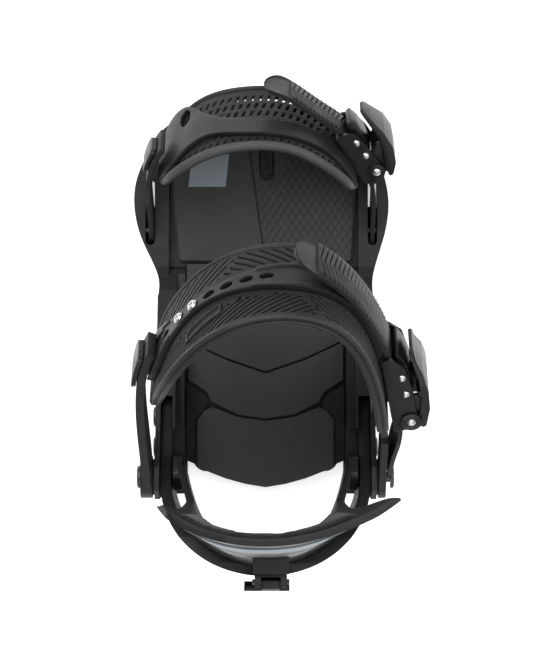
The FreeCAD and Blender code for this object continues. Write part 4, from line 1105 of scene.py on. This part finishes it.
EASED = (                            # CAD node, body, finish, slot, radius of its edges in millimetres
    ("highback_shell", "highback", "nylon_back", "nylon", 1.3),
    ("heelcup", "chassis", "nylon", "nylon", 1.2),
    ("ankle_lever", "ankle_lever", "lever", "lever_black", 0.6),
    ("toe_lever", "toe_lever", "lever", "lever_black", 0.6),
    ("ankle_release", "ankle_release", "lever", "lever_black", 0.5),
    ("toe_release", "toe_release", "lever", "lever_black", 0.5),
    ("ankle_adjuster", "ankle_adjuster", "lever", "lever_black", 0.7),
    ("toe_adjuster", "toe_adjuster", "lever", "lever_black", 0.6),
    ("ankle_connector", "ankle_strap", "nylon", "nylon", 0.8),
    ("toe_connector", "toe_strap", "nylon", "nylon", 0.5),
    ("lean_lever", "lean_lever", "lever", "lever_black", 0.5),
    ("lean_block", "lean_block", "nylon", "nylon", 0.6),
)


class BINDING_OT_eased_pieces(bpy.types.Operator):
    """Highback, heelcup, levers and connectors with their moulded edges rounded"""

    bl_idname = "binding.eased_pieces"
    bl_label = "Rounded hard pieces"

    def execute(self, context):
        for node, body, finish, slot, radius in EASED:
            piece = copy_of(node, node + "_moulded")
            round_edges(piece, radius * MM, 3, 38.0)
            smooth(piece, 35.0)
            hand_over(piece, body, finish, slot, node)
        return {"FINISHED"}


HUB_DEPTH = 1.2
HUBS = (                             # name, body, pivot, tilt, (x, u), w and radius in millimetres
    ("ankle_lever_hub", "ankle_lever", ANKLE_PIVOT, STRAP_TILT, (82.3, 57.5), 15.3, 6.2),
    ("toe_lever_hub", "toe_lever", TOE_PIVOT, TOE_LADDER_TILT, (65.4, 47.6), 12.7, 5.2),
)


class BINDING_OT_lever_hubs(bpy.types.Operator):
    """Round hubs of the ratchet levers, outside the buckles' side plates"""

    bl_idname = "binding.lever_hubs"
    bl_label = "Lever hubs"

    def execute(self, context):
        for name, body, pivot, tilt, (x, u), w, radius in HUBS:
            deselect_all()
            bpy.ops.mesh.primitive_cylinder_add(vertices=40, radius=radius * MM, depth=HUB_DEPTH * MM,
                                                location=(x * MM, u * MM, (w + HUB_DEPTH / 2) * MM))
            hub = bpy.context.object
            hub.name = name
            settle(hub)
            points = coordinates(hub)
            u_part, w_part = points[:, 1].copy(), points[:, 2].copy()
            points[:, 1] = pivot.y + u_part * math.cos(tilt) - w_part * math.sin(tilt)
            points[:, 2] = pivot.z + u_part * math.sin(tilt) + w_part * math.cos(tilt)
            move_points(hub, points)
            round_edges(hub, 0.4 * MM)
            smooth(hub)
            hand_over(hub, body, "lever", "lever_black")
        return {"FINISHED"}


class BINDING_OT_hard_pieces(bpy.types.Operator):
    """Finishes for the CAD nodes: hard pieces that keep their shape, and the ones that new pieces replace"""

    bl_idname = "binding.hard_pieces"
    bl_label = "Hard pieces"

    def execute(self, context):
        for finish, nodes in (*KEPT_FINISHES.items(), ("nylon", REPLACED_NODES)):
            for node in nodes:
                paint(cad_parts[node], finish)
        return {"FINISHED"}


# ---------------------------------------------------------------- studio

FLOOR_DROP = 0.6 * MM                # the floor lies just below the part
FLOOR_GLOW = 0.55
WORLD_LIGHT = 0.26
LIGHTS = (                           # name, place, size, power
    ("key_light", (-0.55, 0.75, 1.25), 0.9, 17.0),
    ("fill_light", (0.9, 0.1, 1.0), 1.0, 9.0),
    ("heel_light", (0.0, -1.1, 0.9), 0.9, 8.0),
    ("top_light", (0.0, 0.0, 1.9), 1.4, 12.0),
)
CAMERA_PLACE = (0.0006, -0.020, 1.5)
CAMERA_LENS = 133.3


class BINDING_OT_stage(bpy.types.Operator):
    """Pale floor, soft lights and the camera that looks straight down"""

    bl_idname = "binding.stage"
    bl_label = "Studio"

    def execute(self, context):
        deselect_all()
        bpy.ops.mesh.primitive_plane_add(size=8.0, location=(0, 0, -FLOOR_DROP))
        floor = bpy.context.object
        floor.name = "studio_floor"
        finish = Finish("studio_floor", (0.86, 0.86, 0.86))
        finish.join(finish.mix(finish.noise(3.0), (0.85, 0.85, 0.85), (0.87, 0.87, 0.87)),
                    finish.shader.inputs["Base Color"])
        finish.shader.inputs["Roughness"].default_value = 0.9
        finish.shader.inputs["Emission Color"].default_value = (1, 1, 1, 1)
        finish.shader.inputs["Emission Strength"].default_value = FLOOR_GLOW
        floor.data.materials.append(finish.material)
        settle(floor)
        for name, place, size, energy in LIGHTS:
            bpy.ops.object.light_add(type="AREA", location=place)
            light = bpy.context.object
            light.name = name
            light.data.size = size
            light.data.energy = energy
            light.rotation_euler = (-Vector(place)).to_track_quat("-Z", "Y").to_euler()
        world = bpy.data.worlds.new("studio")
        world.use_nodes = True
        world.node_tree.nodes["Background"].inputs["Color"].default_value = (1, 1, 1, 1)
        world.node_tree.nodes["Background"].inputs["Strength"].default_value = WORLD_LIGHT
        context.scene.world = world
        context.scene.view_settings.view_transform = "Standard"
        bpy.ops.object.camera_add(location=CAMERA_PLACE, rotation=(0, 0, 0))
        camera = bpy.context.object
        camera.name = "camera"
        camera.data.lens = CAMERA_LENS
        camera.data.sensor_width = 36.0
        camera.data.clip_end = 20.0
        context.scene.camera = camera
        return {"FINISHED"}


# ---------------------------------------------------------------- panel and registration

OPERATORS = (BINDING_OT_hard_pieces, BINDING_OT_eased_pieces, BINDING_OT_lever_hubs, BINDING_OT_footbed,
             BINDING_OT_slot_pads, BINDING_OT_highback_liner, BINDING_OT_ankle_pad, BINDING_OT_ankle_band,
             BINDING_OT_toe_cap, BINDING_OT_toe_band, BINDING_OT_ladders, BINDING_OT_stage)


class BINDING_PT_sidebar(bpy.types.Panel):
    """Sizes, colours and one button for each piece"""

    bl_label = "Binding"
    bl_idname = "BINDING_PT_sidebar"
    bl_space_type = "VIEW_3D"
    bl_region_type = "UI"
    bl_category = "Binding"

    def draw(self, context):
        for group in (context.scene.binding_sizes, context.scene.binding_colours):
            box = self.layout.box()
            for name in group.bl_rna.properties.keys():
                if name not in ("rna_type", "name"):
                    box.prop(group, name)
        for operator in OPERATORS:
            self.layout.operator(operator.bl_idname)


CLASSES = (BindingSizes, BindingColours, *OPERATORS, BINDING_PT_sidebar)


def register():
    """Make the classes and the settings known to Blender."""
    for one in CLASSES:
        bpy.utils.register_class(one)
    bpy.types.Scene.binding_sizes = PointerProperty(type=BindingSizes)
    bpy.types.Scene.binding_colours = PointerProperty(type=BindingColours)


def unregister():
    """Take back what register() made known."""
    del bpy.types.Scene.binding_colours
    del bpy.types.Scene.binding_sizes
    for one in reversed(CLASSES):
        bpy.utils.unregister_class(one)


def main():
    """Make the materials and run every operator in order."""
    register()
    FINISHES.update(build_finishes())
    for operator in OPERATORS:
        group, name = operator.bl_idname.split(".")
        getattr(getattr(bpy.ops, group), name)()


if __name__ == "__main__":
    main()
